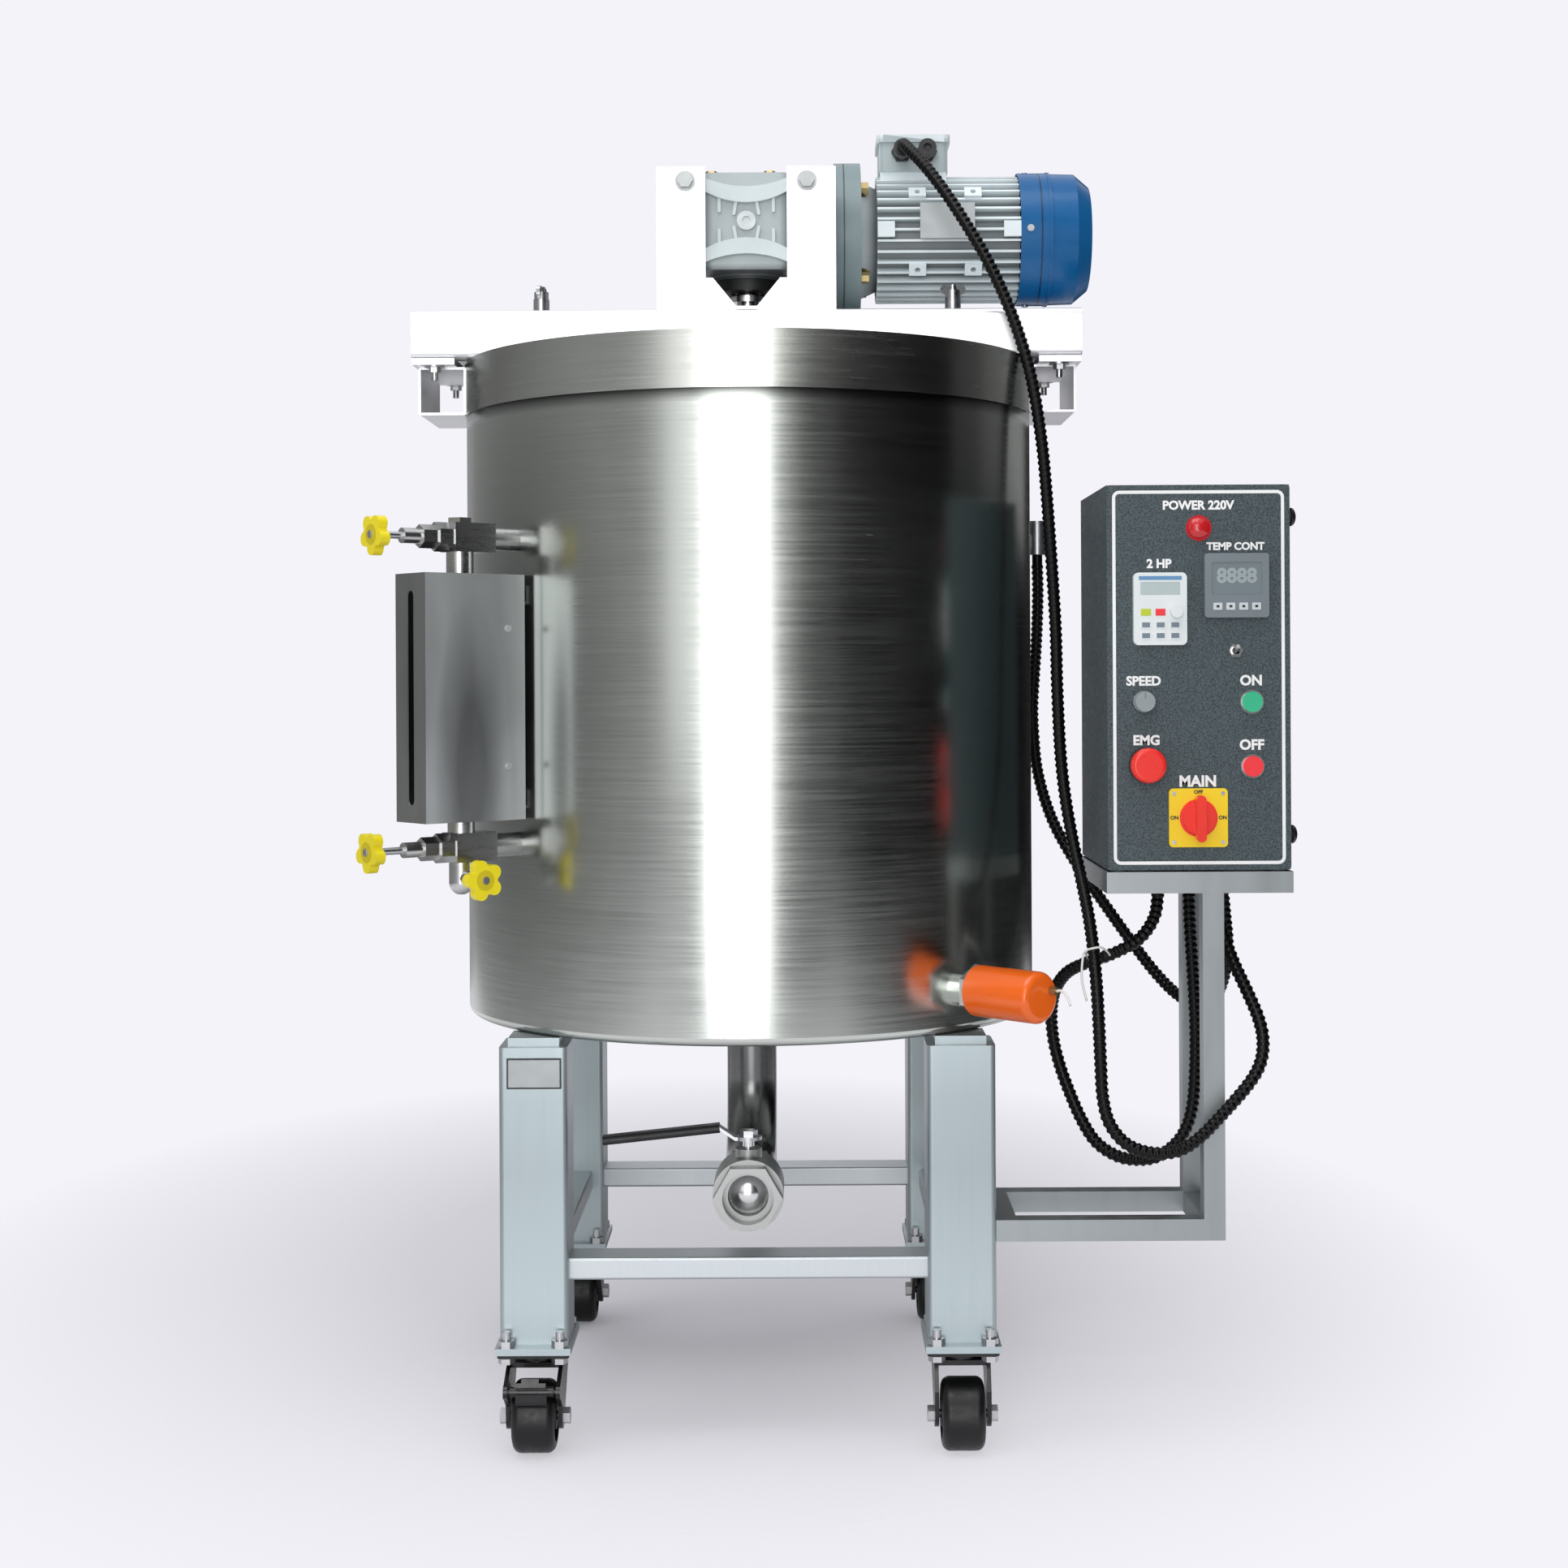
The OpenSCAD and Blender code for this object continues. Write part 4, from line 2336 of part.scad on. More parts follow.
function end_faces(outer, inner, start) =
  [for (k = [0 : conduit_sides - 1], half = [0, 1])
    let (
      n = (k + 1) % conduit_sides,
      f = half == 0 ? [outer + k, outer + n, inner + k] : [outer + n, inner + n, inner + k]
    )
    start ? f : [f[2], f[1], f[0]]];

// Ribbed conduit with its bore, plain for one diameter at each end
module conduit(points, ribs) {
  p = smooth_route(points);
  s = lengths(p);
  l = s[len(s) - 1];
  plain = 2 * conduit_r;
  pitch = (l - 2 * plain) / ribs;
  valley_r = conduit_r - rib_depth;
  stations = concat(
    [[0, valley_r]],
    [for (i = [0 : ribs - 1], half = [0, 1])
      [plain + pitch * (i + 1 / 4 + half / 2), half == 0 ? conduit_r : valley_r]],
    [[l, valley_r]]
  );
  outer_n = len(stations);
  inner_at = concat([0], [for (i = [1 : bore_step : outer_n - 2]) stations[i][0]], [l]);
  inner_n = len(inner_at);
  places = [for (st = stations) route_at(p, s, st[0])];
  ways = [for (st = stations)
    unit(route_at(p, s, min(st[0] + conduit_r, l)) - route_at(p, s, max(st[0] - conduit_r, 0)))];
  normals = carried(ways);
  inner_places = [for (at = inner_at) route_at(p, s, at)];
  inner_ways = [for (at = inner_at)
    unit(route_at(p, s, min(at + conduit_r, l)) - route_at(p, s, max(at - conduit_r, 0)))];
  inner_normals = carried(inner_ways);
  outer_points = [for (i = [0 : outer_n - 1]) each ring(places[i], normals[i], ways[i], stations[i][1])];
  inner_points = [for (i = [0 : inner_n - 1])
    each ring(inner_places[i], inner_normals[i], inner_ways[i], conduit_bore_r)];
  first_inner = outer_n * conduit_sides;
  polyhedron(
    points = concat(outer_points, inner_points),
    faces = concat(
      wall_faces(0, outer_n, true),
      wall_faces(first_inner, inner_n, false),
      end_faces(0, first_inner, true),
      end_faces((outer_n - 1) * conduit_sides, first_inner + (inner_n - 1) * conduit_sides, false)
    ),
    convexity = 10
  );
}

module motor_conduit() {
  color(black)
    conduit(laid(motor_route, motor_start, motor_end), motor_ribs);
}

module heater_conduit() {
  color(black)
    conduit(laid(heater_route, heater_start, heater_end), heater_ribs);
}

module probe_conduit() {
  color(black)
    conduit(laid(probe_route, probe_start, probe_end), probe_ribs);
}

// Places a caster piece under a leg; the rear casters trail backwards
module at_caster(x, y) {
  translate([x * leg_at, y * leg_at, 0])
    rotate([0, 0, y > 0 ? 180 : 0])
      children();
}

base_frame();
caster_plates();
outer_jacket();
inner_vessel();
lid();
cross_beam();
fasteners();
gearbox_bracket();
gearbox_housing();
motor_frame();
fan_cowl();
terminal_box();
cable_glands();
gauge_valves();
gauge_glass();
gauge_cover();
heater_element();
heater_cap();
drain_pipe();
drain_valve_body();
stand_frame();
control_box();
side_plugs();
drive_unit();
motor_conduit();
heater_conduit();
probe_conduit();
box_door();
temperature_controller();
drive_keypad();
pilot_lamp();
control_bezels();
stirrer();
worm_wheel();
motor_rotor();
at_caster(-1, -1) caster_fork(true);  // caster_fork_front_left
at_caster(1, -1) caster_fork();  // caster_fork_front_right
at_caster(-1, 1) caster_fork();  // caster_fork_rear_left
at_caster(1, 1) caster_fork();  // caster_fork_rear_right
at_caster(-1, -1) caster_wheel();  // caster_wheel_front_left
at_caster(1, -1) caster_wheel();  // caster_wheel_front_right
at_caster(-1, 1) caster_wheel();  // caster_wheel_rear_left
at_caster(1, 1) caster_wheel();  // caster_wheel_rear_right
brake_pedal();
drain_ball();
drain_lever();
upper_gauge_wheel();
lower_gauge_wheel();
gauge_drain_wheel();
wing_nut_left();
wing_nut_right();
on_button();
off_button();
emergency_stop();
main_switch();
speed_knob();
toggle_lever();
keypad_knob();
filling_flap();
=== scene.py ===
import math
import bmesh
import bpy
from mathutils import Matrix, Vector


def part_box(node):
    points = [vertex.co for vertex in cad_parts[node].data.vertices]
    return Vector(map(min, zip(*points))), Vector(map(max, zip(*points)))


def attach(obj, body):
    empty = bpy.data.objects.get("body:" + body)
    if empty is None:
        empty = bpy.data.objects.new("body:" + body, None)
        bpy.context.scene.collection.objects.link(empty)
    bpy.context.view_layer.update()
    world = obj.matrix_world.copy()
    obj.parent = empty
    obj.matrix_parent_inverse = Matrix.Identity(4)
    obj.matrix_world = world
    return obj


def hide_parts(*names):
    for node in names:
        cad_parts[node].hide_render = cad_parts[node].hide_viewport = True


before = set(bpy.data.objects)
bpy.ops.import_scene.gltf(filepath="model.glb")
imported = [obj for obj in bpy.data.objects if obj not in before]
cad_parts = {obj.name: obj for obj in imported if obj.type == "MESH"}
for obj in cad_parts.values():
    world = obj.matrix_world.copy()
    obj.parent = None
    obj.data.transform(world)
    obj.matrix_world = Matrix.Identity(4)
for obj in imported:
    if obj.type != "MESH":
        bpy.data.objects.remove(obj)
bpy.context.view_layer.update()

# The studio: a pale floor that fades into a pale backdrop, soft lamps, cards for polished metal to
# mirror, and a camera level with the middle of the tank, about three metres in front of it.
scene = bpy.context.scene
scene.view_settings.view_transform = "Standard"


def screen_colour(red, green, blue):
    """A colour as it is read on a screen, as the linear colour that the shaders take."""
    parts = [c / 255 for c in (red, green, blue)]
    return [c / 12.92 if c <= 0.04045 else ((c + 0.055) / 1.055) ** 2.4 for c in parts] + [1.0]


lens = bpy.data.cameras.new("front_camera")
lens.sensor_width = 36
lens.lens = 53.78
lens.shift_x = -0.0085
lens.shift_y = -0.0694
camera = bpy.data.objects.new("front_camera", lens)
camera.location = (0.061, -3.021, 0.907)
camera.rotation_euler = (math.radians(90), math.radians(0.3), 0)
scene.collection.objects.link(camera)
scene.camera = camera


def put(node, values):
    """Sets inputs of a shader node by their names."""
    for socket, value in values.items():
        node.inputs[socket].default_value = value


world = bpy.data.worlds.new("pale_room")
scene.world = world
world.use_nodes = True
nodes, links = world.node_tree.nodes, world.node_tree.links
nodes.clear()
seen = nodes.new("ShaderNodeBackground")
put(seen, {"Color": screen_colour(244, 243, 249), "Strength": 1.0})
lit = nodes.new("ShaderNodeBackground")
put(lit, {"Color": screen_colour(244, 244, 247), "Strength": 0.60})
path = nodes.new("ShaderNodeLightPath")
either = nodes.new("ShaderNodeMath")
either.operation = "MAXIMUM"
any_seen = nodes.new("ShaderNodeMath")
any_seen.operation = "MAXIMUM"
blend = nodes.new("ShaderNodeMixShader")
out = nodes.new("ShaderNodeOutputWorld")
links.new(path.outputs["Is Camera Ray"], either.inputs[0])
links.new(path.outputs["Is Glossy Ray"], either.inputs[1])
links.new(either.outputs[0], any_seen.inputs[0])
links.new(path.outputs["Is Transmission Ray"], any_seen.inputs[1])
links.new(any_seen.outputs[0], blend.inputs[0])
links.new(lit.outputs[0], blend.inputs[1])
links.new(seen.outputs[0], blend.inputs[2])
links.new(blend.outputs[0], out.inputs["Surface"])


def soft_lamp(name, at, aim, width, height, watts):
    """A rectangular soft lamp turned towards a point."""
    data = bpy.data.lights.new(name, "AREA")
    data.shape = "RECTANGLE"
    data.size = width
    data.size_y = height
    data.energy = watts
    lamp = bpy.data.objects.new(name, data)
    lamp.location = at
    lamp.rotation_euler = (Vector(aim) - Vector(at)).to_track_quat("-Z", "Y").to_euler()
    scene.collection.objects.link(lamp)
    lamp.visible_camera = False
    return lamp


soft_lamp("front_lamp", (-0.30, -4.6, 1.45), (-0.05, 0, 1.0), 1.9, 3.4, 62)
soft_lamp("top_lamp", (-0.4, -0.9, 3.6), (0, 0, 0.8), 2.4, 2.0, 34)
side_lamp = soft_lamp("left_lamp", (-3.4, -1.9, 1.6), (0, 0, 0.9), 0.35, 2.6, 9)
side_lamp.visible_glossy = False


def studio_card(name, start, stop, foot, level):
    """An upright card beside the stage, from one floor point to another, that only polished metal mirrors."""
    card_top = 4.5
    blue_share = 1.02
    mesh = bpy.data.meshes.new(name)
    corners = [(*start, foot), (*stop, foot), (*stop, card_top), (*start, card_top)]
    mesh.from_pydata(corners, [], [(0, 1, 2, 3)])
    card = bpy.data.objects.new(name, mesh)
    scene.collection.objects.link(card)
    paint = bpy.data.materials.new(name)
    paint.use_nodes = True
    nodes, links = paint.node_tree.nodes, paint.node_tree.links
    nodes.clear()
    glow = nodes.new("ShaderNodeEmission")
    put(glow, {"Color": (level, level, level * blue_share, 1)})
    end = nodes.new("ShaderNodeOutputMaterial")
    links.new(glow.outputs[0], end.inputs["Surface"])
    mesh.materials.append(paint)
    card.visible_camera = False
    card.visible_diffuse = False
    card.visible_shadow = False


card_foot = -0.2
shoulder_foot = 0.55
high_foot = 1.35
for name, start, stop, foot, level in (
        ("left_card", (-3.6, -5.0), (-3.6, 5.0), card_foot, 0.26),
        ("left_front_card", (-3.6, -5.0), (-1.3, -5.2), card_foot, 0.28),
        ("left_back_card", (-3.6, 5.0), (-0.6, 5.2), card_foot, 0.34),
        ("right_front_card", (0.66, -5.2), (3.2, -4.6), card_foot, 0.045),
        ("right_card", (3.2, -4.6), (3.2, 5.0), card_foot, 0.003),
        ("right_high_card", (3.18, -0.3), (3.18, 0.7), high_foot, 0.05),
        ("right_high_card", (3.18, 0.7), (3.18, 1.9), high_foot, 0.11),
        ("right_high_card", (3.18, 1.9), (3.18, 5.0), high_foot, 0.28),
        ("right_back_card", (3.2, 5.0), (0.5, 5.2), card_foot, 0.01),
        ("left_shoulder_card", (-3.55, -3.3), (-3.55, -4.3), shoulder_foot, 0.28),
        ("left_shoulder_card", (-3.55, -4.3), (-3.55, -4.95), shoulder_foot, 0.34),
        ("left_shoulder_card", (-3.55, -4.95), (-2.9, -5.0), shoulder_foot, 0.48),
        ("left_shoulder_card", (-2.9, -5.0), (-1.7, -5.05), shoulder_foot, 1.0),
        ("right_shoulder_card", (0.66, -5.15), (1.7, -4.9), shoulder_foot, 0.24)):
    studio_card(name, start, stop, foot, level)

floor_mesh = bpy.data.meshes.new("floor")
floor_reach = 4
floor_corners = [(floor_reach * x, floor_reach * y, 0) for x, y in ((-1, -1), (1, -1), (1, 1), (-1, 1))]
floor_mesh.from_pydata(floor_corners, [], [(0, 1, 2, 3)])
floor = bpy.data.objects.new("floor", floor_mesh)
scene.collection.objects.link(floor)
floor_paint = bpy.data.materials.new("floor_paint")
floor_paint.use_nodes = True
nodes, links = floor_paint.node_tree.nodes, floor_paint.node_tree.links
nodes.clear()
matt = nodes.new("ShaderNodeBsdfDiffuse")
floor_tone = nodes.new("ShaderNodeMix")
floor_tone.data_type = "RGBA"
put(floor_tone, {"A": screen_colour(236, 235, 241), "B": screen_colour(120, 120, 122)})
ray = nodes.new("ShaderNodeLightPath")
links.new(ray.outputs["Is Glossy Ray"], floor_tone.inputs["Factor"])
links.new(floor_tone.outputs["Result"], matt.inputs["Color"])
clear = nodes.new("ShaderNodeBsdfTransparent")
place = nodes.new("ShaderNodeTexCoord")
oval = nodes.new("ShaderNodeMapping")
oval_half_width = 1.24
oval_half_depth = 1.60
oval_left = 0.10
oval_back = 0.72
put(oval, {"Location": (oval_left / oval_half_width, -oval_back / oval_half_depth, 0),
           "Scale": (1 / oval_half_width, 1 / oval_half_depth, 1)})
far = nodes.new("ShaderNodeVectorMath")
far.operation = "LENGTH"
fade = nodes.new("ShaderNodeMapRange")
put(fade, {"From Min": 0.35, "From Max": 1.0, "To Min": 0.12})
mixed = nodes.new("ShaderNodeMixShader")
end = nodes.new("ShaderNodeOutputMaterial")
links.new(place.outputs["Object"], oval.inputs["Vector"])
links.new(oval.outputs["Vector"], far.inputs[0])
links.new(far.outputs["Value"], fade.inputs["Value"])
links.new(fade.outputs["Result"], mixed.inputs[0])
links.new(matt.outputs[0], mixed.inputs[1])
links.new(clear.outputs[0], mixed.inputs[2])
links.new(mixed.outputs[0], end.inputs["Surface"])
floor_mesh.materials.append(floor_paint)

# The three conduits: black ribbed plastic hose of 16 mm, clamped in glands at both ends and hanging
# in loops between the motor, the heater, the temperature probe and the control box.
fine_noise = bpy.data.node_groups.new("fine_noise", "ShaderNodeTree")
for socket in ("Scale", "Low", "High"):
    fine_noise.interface.new_socket(socket, in_out="INPUT", socket_type="NodeSocketFloat")
fine_noise.interface.new_socket("Value", in_out="OUTPUT", socket_type="NodeSocketFloat")
nodes, links = fine_noise.nodes, fine_noise.links
group_in, group_out = nodes.new("NodeGroupInput"), nodes.new("NodeGroupOutput")
spot = nodes.new("ShaderNodeTexCoord")
noise = nodes.new("ShaderNodeTexNoise")
put(noise, {"Detail": 4})
spread = nodes.new("ShaderNodeMapRange")
put(spread, {"From Min": 0.3, "From Max": 0.7})
links.new(spot.outputs["Object"], noise.inputs["Vector"])
links.new(group_in.outputs["Scale"], noise.inputs["Scale"])
links.new(noise.outputs["Fac"], spread.inputs["Value"])
links.new(group_in.outputs["Low"], spread.inputs["To Min"])
links.new(group_in.outputs["High"], spread.inputs["To Max"])
links.new(spread.outputs["Result"], group_out.inputs["Value"])


def noise_value(nodes, scale, low, high):
    """Places the fine noise in a material and returns its value, which varies from low to high."""
    group = nodes.new("ShaderNodeGroup")
    group.node_tree = fine_noise
    put(group, {"Scale": scale, "Low": low, "High": high})
    return group.outputs["Value"]


def moulded(name, colour, low, high, scale=60, bump=0.0, metallic=0.0, coat=0.0):
    """Plastic, paint or cast metal: one colour, with gloss that varies a little over the surface."""
    darkest = 0.93
    palest = 1.06
    cloud_wider = 6
    grain_finer = 12
    grain_depth = 0.0004
    finish = bpy.data.materials.new(name)
    finish.use_nodes = True
    nodes, links = finish.node_tree.nodes, finish.node_tree.links
    shader = nodes["Principled BSDF"]
    put(shader, {"Metallic": metallic, "Coat Weight": coat})
    links.new(noise_value(nodes, scale, low, high), shader.inputs["Roughness"])
    shift = nodes.new("ShaderNodeMix")
    shift.data_type = "RGBA"
    put(shift, {"A": [c * darkest for c in colour[:3]] + [1],
                "B": [min(1, c * palest) for c in colour[:3]] + [1]})
    links.new(noise_value(nodes, scale / cloud_wider, 0.0, 1.0), shift.inputs["Factor"])
    links.new(shift.outputs["Result"], shader.inputs["Base Color"])
    if bump:
        raised = nodes.new("ShaderNodeBump")
        put(raised, {"Strength": bump, "Distance": grain_depth})
        links.new(noise_value(nodes, scale * grain_finer, 0.0, 1.0), raised.inputs["Height"])
        links.new(raised.outputs["Normal"], shader.inputs["Normal"])
    return finish


hose_black = moulded("hose_black", screen_colour(7, 7, 8), 0.26, 0.38, 90)
put(hose_black.node_tree.nodes["Principled BSDF"], {"Specular IOR Level": 0.24})


def hose_line(points, steps=10):
    """Smooth line through the points that a hose follows."""
    p = [Vector(q) for q in points]
    line = []
    for i in range(len(p) - 1):
        a, b, c, d = p[max(i - 1, 0)], p[i], p[i + 1], p[min(i + 2, len(p) - 1)]
        for k in range(steps):
            t = k / steps
            line.append((2 * b + (c - a) * t + (2 * a - 5 * b + 4 * c - d) * t ** 2
                         + (3 * b - a - 3 * c + d) * t ** 3) / 2)
    line.append(p[-1])
    return line


def even_line(line, spacing):
    """The same line with its points evenly spaced, and its length."""
    along = [0.0]
    for a, b in zip(line, line[1:]):
        along.append(along[-1] + (b - a).length)
    count = max(2, round(along[-1] / spacing))
    found, k = [], 0
    for i in range(count + 1):
        s = along[-1] * i / count
        while k < len(line) - 2 and along[k + 1] < s:
            k += 1
        share = (s - along[k]) / max(1e-9, along[k + 1] - along[k])
        found.append(line[k].lerp(line[k + 1], min(1, share)))
    return found, along[-1]


def swept_tube(name, line, radii, sides, finish):
    """A tube along a line, with its own radius at each point."""
    verts, faces = [], []
    side = None
    for i, at in enumerate(line):
        way = (line[min(i + 1, len(line) - 1)] - line[max(i - 1, 0)]).normalized()
        if side is None:
            side = way.orthogonal()
        side = (side - way * side.dot(way)).normalized()
        other = way.cross(side)
        for k in range(sides):
            a = 2 * math.pi * k / sides
            verts.append(at + radii[i] * (math.cos(a) * side + math.sin(a) * other))
    for i in range(len(line) - 1):
        for k in range(sides):
            n = (k + 1) % sides
            faces.append((i * sides + k, i * sides + n, (i + 1) * sides + n, (i + 1) * sides + k))
    faces.append(tuple(range(sides - 1, -1, -1)))
    faces.append(tuple((len(line) - 1) * sides + k for k in range(sides)))
    mesh = bpy.data.meshes.new(name)
    mesh.from_pydata([tuple(v) for v in verts], [], faces)
    mesh.shade_smooth()
    mesh.materials.append(finish)
    tube = bpy.data.objects.new(name, mesh)
    scene.collection.objects.link(tube)
    return tube


def ribbed_hose(node, points):
    """A ribbed hose in place of its plain solid."""
    ring_step = 0.0019
    path_step = 0.006
    plain_radius = 0.0068
    rib_radii = (0.008, 0.0079, 0.0066, 0.0066)
    plain_rings = 8
    sides = 12
    line, length = even_line(hose_line(points), ring_step)
    radii = [plain_radius if i < plain_rings or i > len(line) - plain_rings else rib_radii[i % len(rib_radii)]
             for i in range(len(line))]
    hose = swept_tube(node + "_ribs", line, radii, sides, hose_black)
    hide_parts(node)
    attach(hose, "machine")
    even_line(hose_line(points), path_step)[0]


ribbed_hose("motor_conduit", [
    (0.200, -0.010, 1.585), (0.200, -0.027, 1.585), (0.205, -0.056, 1.573), (0.226, -0.087, 1.542),
    (0.250, -0.107, 1.504), (0.274, -0.120, 1.463), (0.298, -0.128, 1.419), (0.319, -0.133, 1.372),
    (0.337, -0.136, 1.322), (0.351, -0.139, 1.270), (0.361, -0.140, 1.208), (0.368, -0.140, 1.139),
    (0.378, -0.142, 0.979), (0.380, -0.145, 0.889), (0.383, -0.150, 0.810),
    (0.388, -0.157, 0.755), (0.396, -0.168, 0.701), (0.404, -0.184, 0.656), (0.410, -0.204, 0.614),
    (0.413, -0.225, 0.574), (0.414, -0.245, 0.534), (0.414, -0.263, 0.492), (0.414, -0.277, 0.450),
    (0.415, -0.287, 0.412), (0.422, -0.294, 0.383), (0.440, -0.300, 0.361), (0.467, -0.304, 0.351),
    (0.497, -0.307, 0.353), (0.523, -0.308, 0.368), (0.553, -0.307, 0.398), (0.583, -0.301, 0.430),
    (0.598, -0.293, 0.453), (0.603, -0.283, 0.478), (0.600, -0.271, 0.502), (0.590, -0.256, 0.531),
    (0.577, -0.240, 0.564), (0.566, -0.226, 0.600), (0.561, -0.217, 0.628), (0.560, -0.215, 0.640),
    (0.560, -0.215, 0.655)])
ribbed_hose("heater_conduit", [
    (0.495, -0.190, 0.655), (0.495, -0.190, 0.638), (0.490, -0.193, 0.612), (0.472, -0.199, 0.588),
    (0.442, -0.201, 0.571), (0.412, -0.190, 0.559), (0.388, -0.166, 0.543), (0.376, -0.140, 0.518),
    (0.373, -0.124, 0.487), (0.376, -0.121, 0.453), (0.383, -0.130, 0.422), (0.393, -0.146, 0.392),
    (0.405, -0.161, 0.363), (0.421, -0.173, 0.338), (0.444, -0.182, 0.323), (0.468, -0.188, 0.319),
    (0.492, -0.191, 0.323), (0.514, -0.192, 0.338), (0.528, -0.191, 0.358), (0.536, -0.189, 0.386),
    (0.540, -0.186, 0.430), (0.541, -0.183, 0.480), (0.539, -0.179, 0.540), (0.536, -0.176, 0.600),
    (0.535, -0.175, 0.638), (0.535, -0.175, 0.655)])
ribbed_hose("probe_conduit", [
    (0.378, 0.067, 1.064), (0.378, 0.067, 1.047), (0.379, 0.071, 1.018), (0.379, 0.080, 0.980),
    (0.378, 0.089, 0.941), (0.376, 0.095, 0.902), (0.374, 0.097, 0.862), (0.375, 0.094, 0.823),
    (0.378, 0.087, 0.784), (0.386, 0.078, 0.746), (0.398, 0.066, 0.710), (0.415, 0.055, 0.676),
    (0.435, 0.045, 0.643), (0.457, 0.037, 0.611), (0.479, 0.031, 0.579), (0.501, 0.024, 0.548),
    (0.523, 0.011, 0.519), (0.545, -0.011, 0.496), (0.566, -0.040, 0.486), (0.583, -0.071, 0.497),
    (0.592, -0.094, 0.528), (0.595, -0.103, 0.568), (0.592, -0.103, 0.609), (0.590, -0.100, 0.638),
    (0.590, -0.100, 0.655)])

# The cable tie: a thin strap of white nylon, pulled tight round two of the conduits to hold them
# together, with its long tail left on.
tie_white = moulded("tie_white", screen_colour(238, 238, 236), 0.35, 0.5, 80)
tie_radius = 0.0014
tie_step = 0.004
tie_points = [
    (0.404, -0.231, 0.577), (0.405, -0.216, 0.571), (0.414, -0.193, 0.560), (0.428, -0.186, 0.557),
    (0.437, -0.194, 0.562), (0.432, -0.214, 0.572), (0.421, -0.233, 0.581), (0.409, -0.236, 0.580),
    (0.403, -0.232, 0.577), (0.398, -0.242, 0.570), (0.396, -0.248, 0.545), (0.401, -0.252, 0.520)]
tie_line = even_line(hose_line(tie_points), tie_step)[0]
cable_tie = swept_tube("cable_tie", tie_line, [tie_radius] * len(tie_line), 6, tie_white)
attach(cable_tie, "machine")

# The base frame: four legs of square steel tube with foot plates below and pads on top, joined by
# rails all round. It is one weldment, satin finished, with a light grain along the tubes.
steel_grain = bpy.data.node_groups.new("steel_grain", "ShaderNodeTree")
for socket, kind in (("Stretch", "NodeSocketVector"), ("Bright", "NodeSocketColor"),
                     ("Dull", "NodeSocketColor"), ("Low", "NodeSocketFloat"), ("High", "NodeSocketFloat")):
    steel_grain.interface.new_socket(socket, in_out="INPUT", socket_type=kind)
for socket, kind in (("Color", "NodeSocketColor"), ("Roughness", "NodeSocketFloat"),
                     ("Height", "NodeSocketFloat")):
    steel_grain.interface.new_socket(socket, in_out="OUTPUT", socket_type=kind)
nodes, links = steel_grain.nodes, steel_grain.links
grain_in, grain_out = nodes.new("NodeGroupInput"), nodes.new("NodeGroupOutput")
spot = nodes.new("ShaderNodeTexCoord")
pulled = nodes.new("ShaderNodeVectorMath")
pulled.operation = "MULTIPLY"
lines = nodes.new("ShaderNodeTexNoise")
put(lines, {"Scale": 1.0, "Detail": 5})
cloud = nodes.new("ShaderNodeTexNoise")
put(cloud, {"Scale": 5.0, "Detail": 3})
both = nodes.new("ShaderNodeMath")
both.operation = "MULTIPLY_ADD"
both.inputs[1].default_value = 0.55
share = nodes.new("ShaderNodeMath")
share.operation = "MULTIPLY"
share.inputs[1].default_value = 0.45
hue = nodes.new("ShaderNodeMix")
hue.data_type = "RGBA"
wide = nodes.new("ShaderNodeMapRange")
put(wide, {"From Min": 0.3, "From Max": 0.7})
links.new(spot.outputs["Object"], pulled.inputs[0])
links.new(grain_in.outputs["Stretch"], pulled.inputs[1])
links.new(pulled.outputs["Vector"], lines.inputs["Vector"])
links.new(spot.outputs["Object"], cloud.inputs["Vector"])
links.new(cloud.outputs["Fac"], share.inputs[0])
links.new(lines.outputs["Fac"], both.inputs[0])
links.new(share.outputs[0], both.inputs[2])
links.new(both.outputs[0], wide.inputs["Value"])
links.new(grain_in.outputs["Low"], wide.inputs["To Min"])
links.new(grain_in.outputs["High"], wide.inputs["To Max"])
links.new(both.outputs[0], hue.inputs["Factor"])
links.new(grain_in.outputs["Dull"], hue.inputs["A"])
links.new(grain_in.outputs["Bright"], hue.inputs["B"])
links.new(hue.outputs["Result"], grain_out.inputs["Color"])
links.new(wide.outputs["Result"], grain_out.inputs["Roughness"])
links.new(lines.outputs["Fac"], grain_out.inputs["Height"])


def grained_steel(name, dull, bright, low, high, stretch, bump=0.05):
    """Sheet or tube steel with brushing pulled out along one direction."""
    brush_depth = 0.0003
    finish = bpy.data.materials.new(name)
    finish.use_nodes = True
    nodes, links = finish.node_tree.nodes, finish.node_tree.links
    shader = nodes["Principled BSDF"]
    put(shader, {"Metallic": 1.0})
    grain = nodes.new("ShaderNodeGroup")
    grain.node_tree = steel_grain
    put(grain, {"Stretch": stretch, "Bright": (*bright, 1), "Dull": (*dull, 1), "Low": low, "High": high})
    raised = nodes.new("ShaderNodeBump")
    put(raised, {"Strength": bump, "Distance": brush_depth})
    links.new(grain.outputs["Color"], shader.inputs["Base Color"])
    links.new(grain.outputs["Roughness"], shader.inputs["Roughness"])
    links.new(grain.outputs["Height"], raised.inputs["Height"])
    links.new(raised.outputs["Normal"], shader.inputs["Normal"])
    return finish


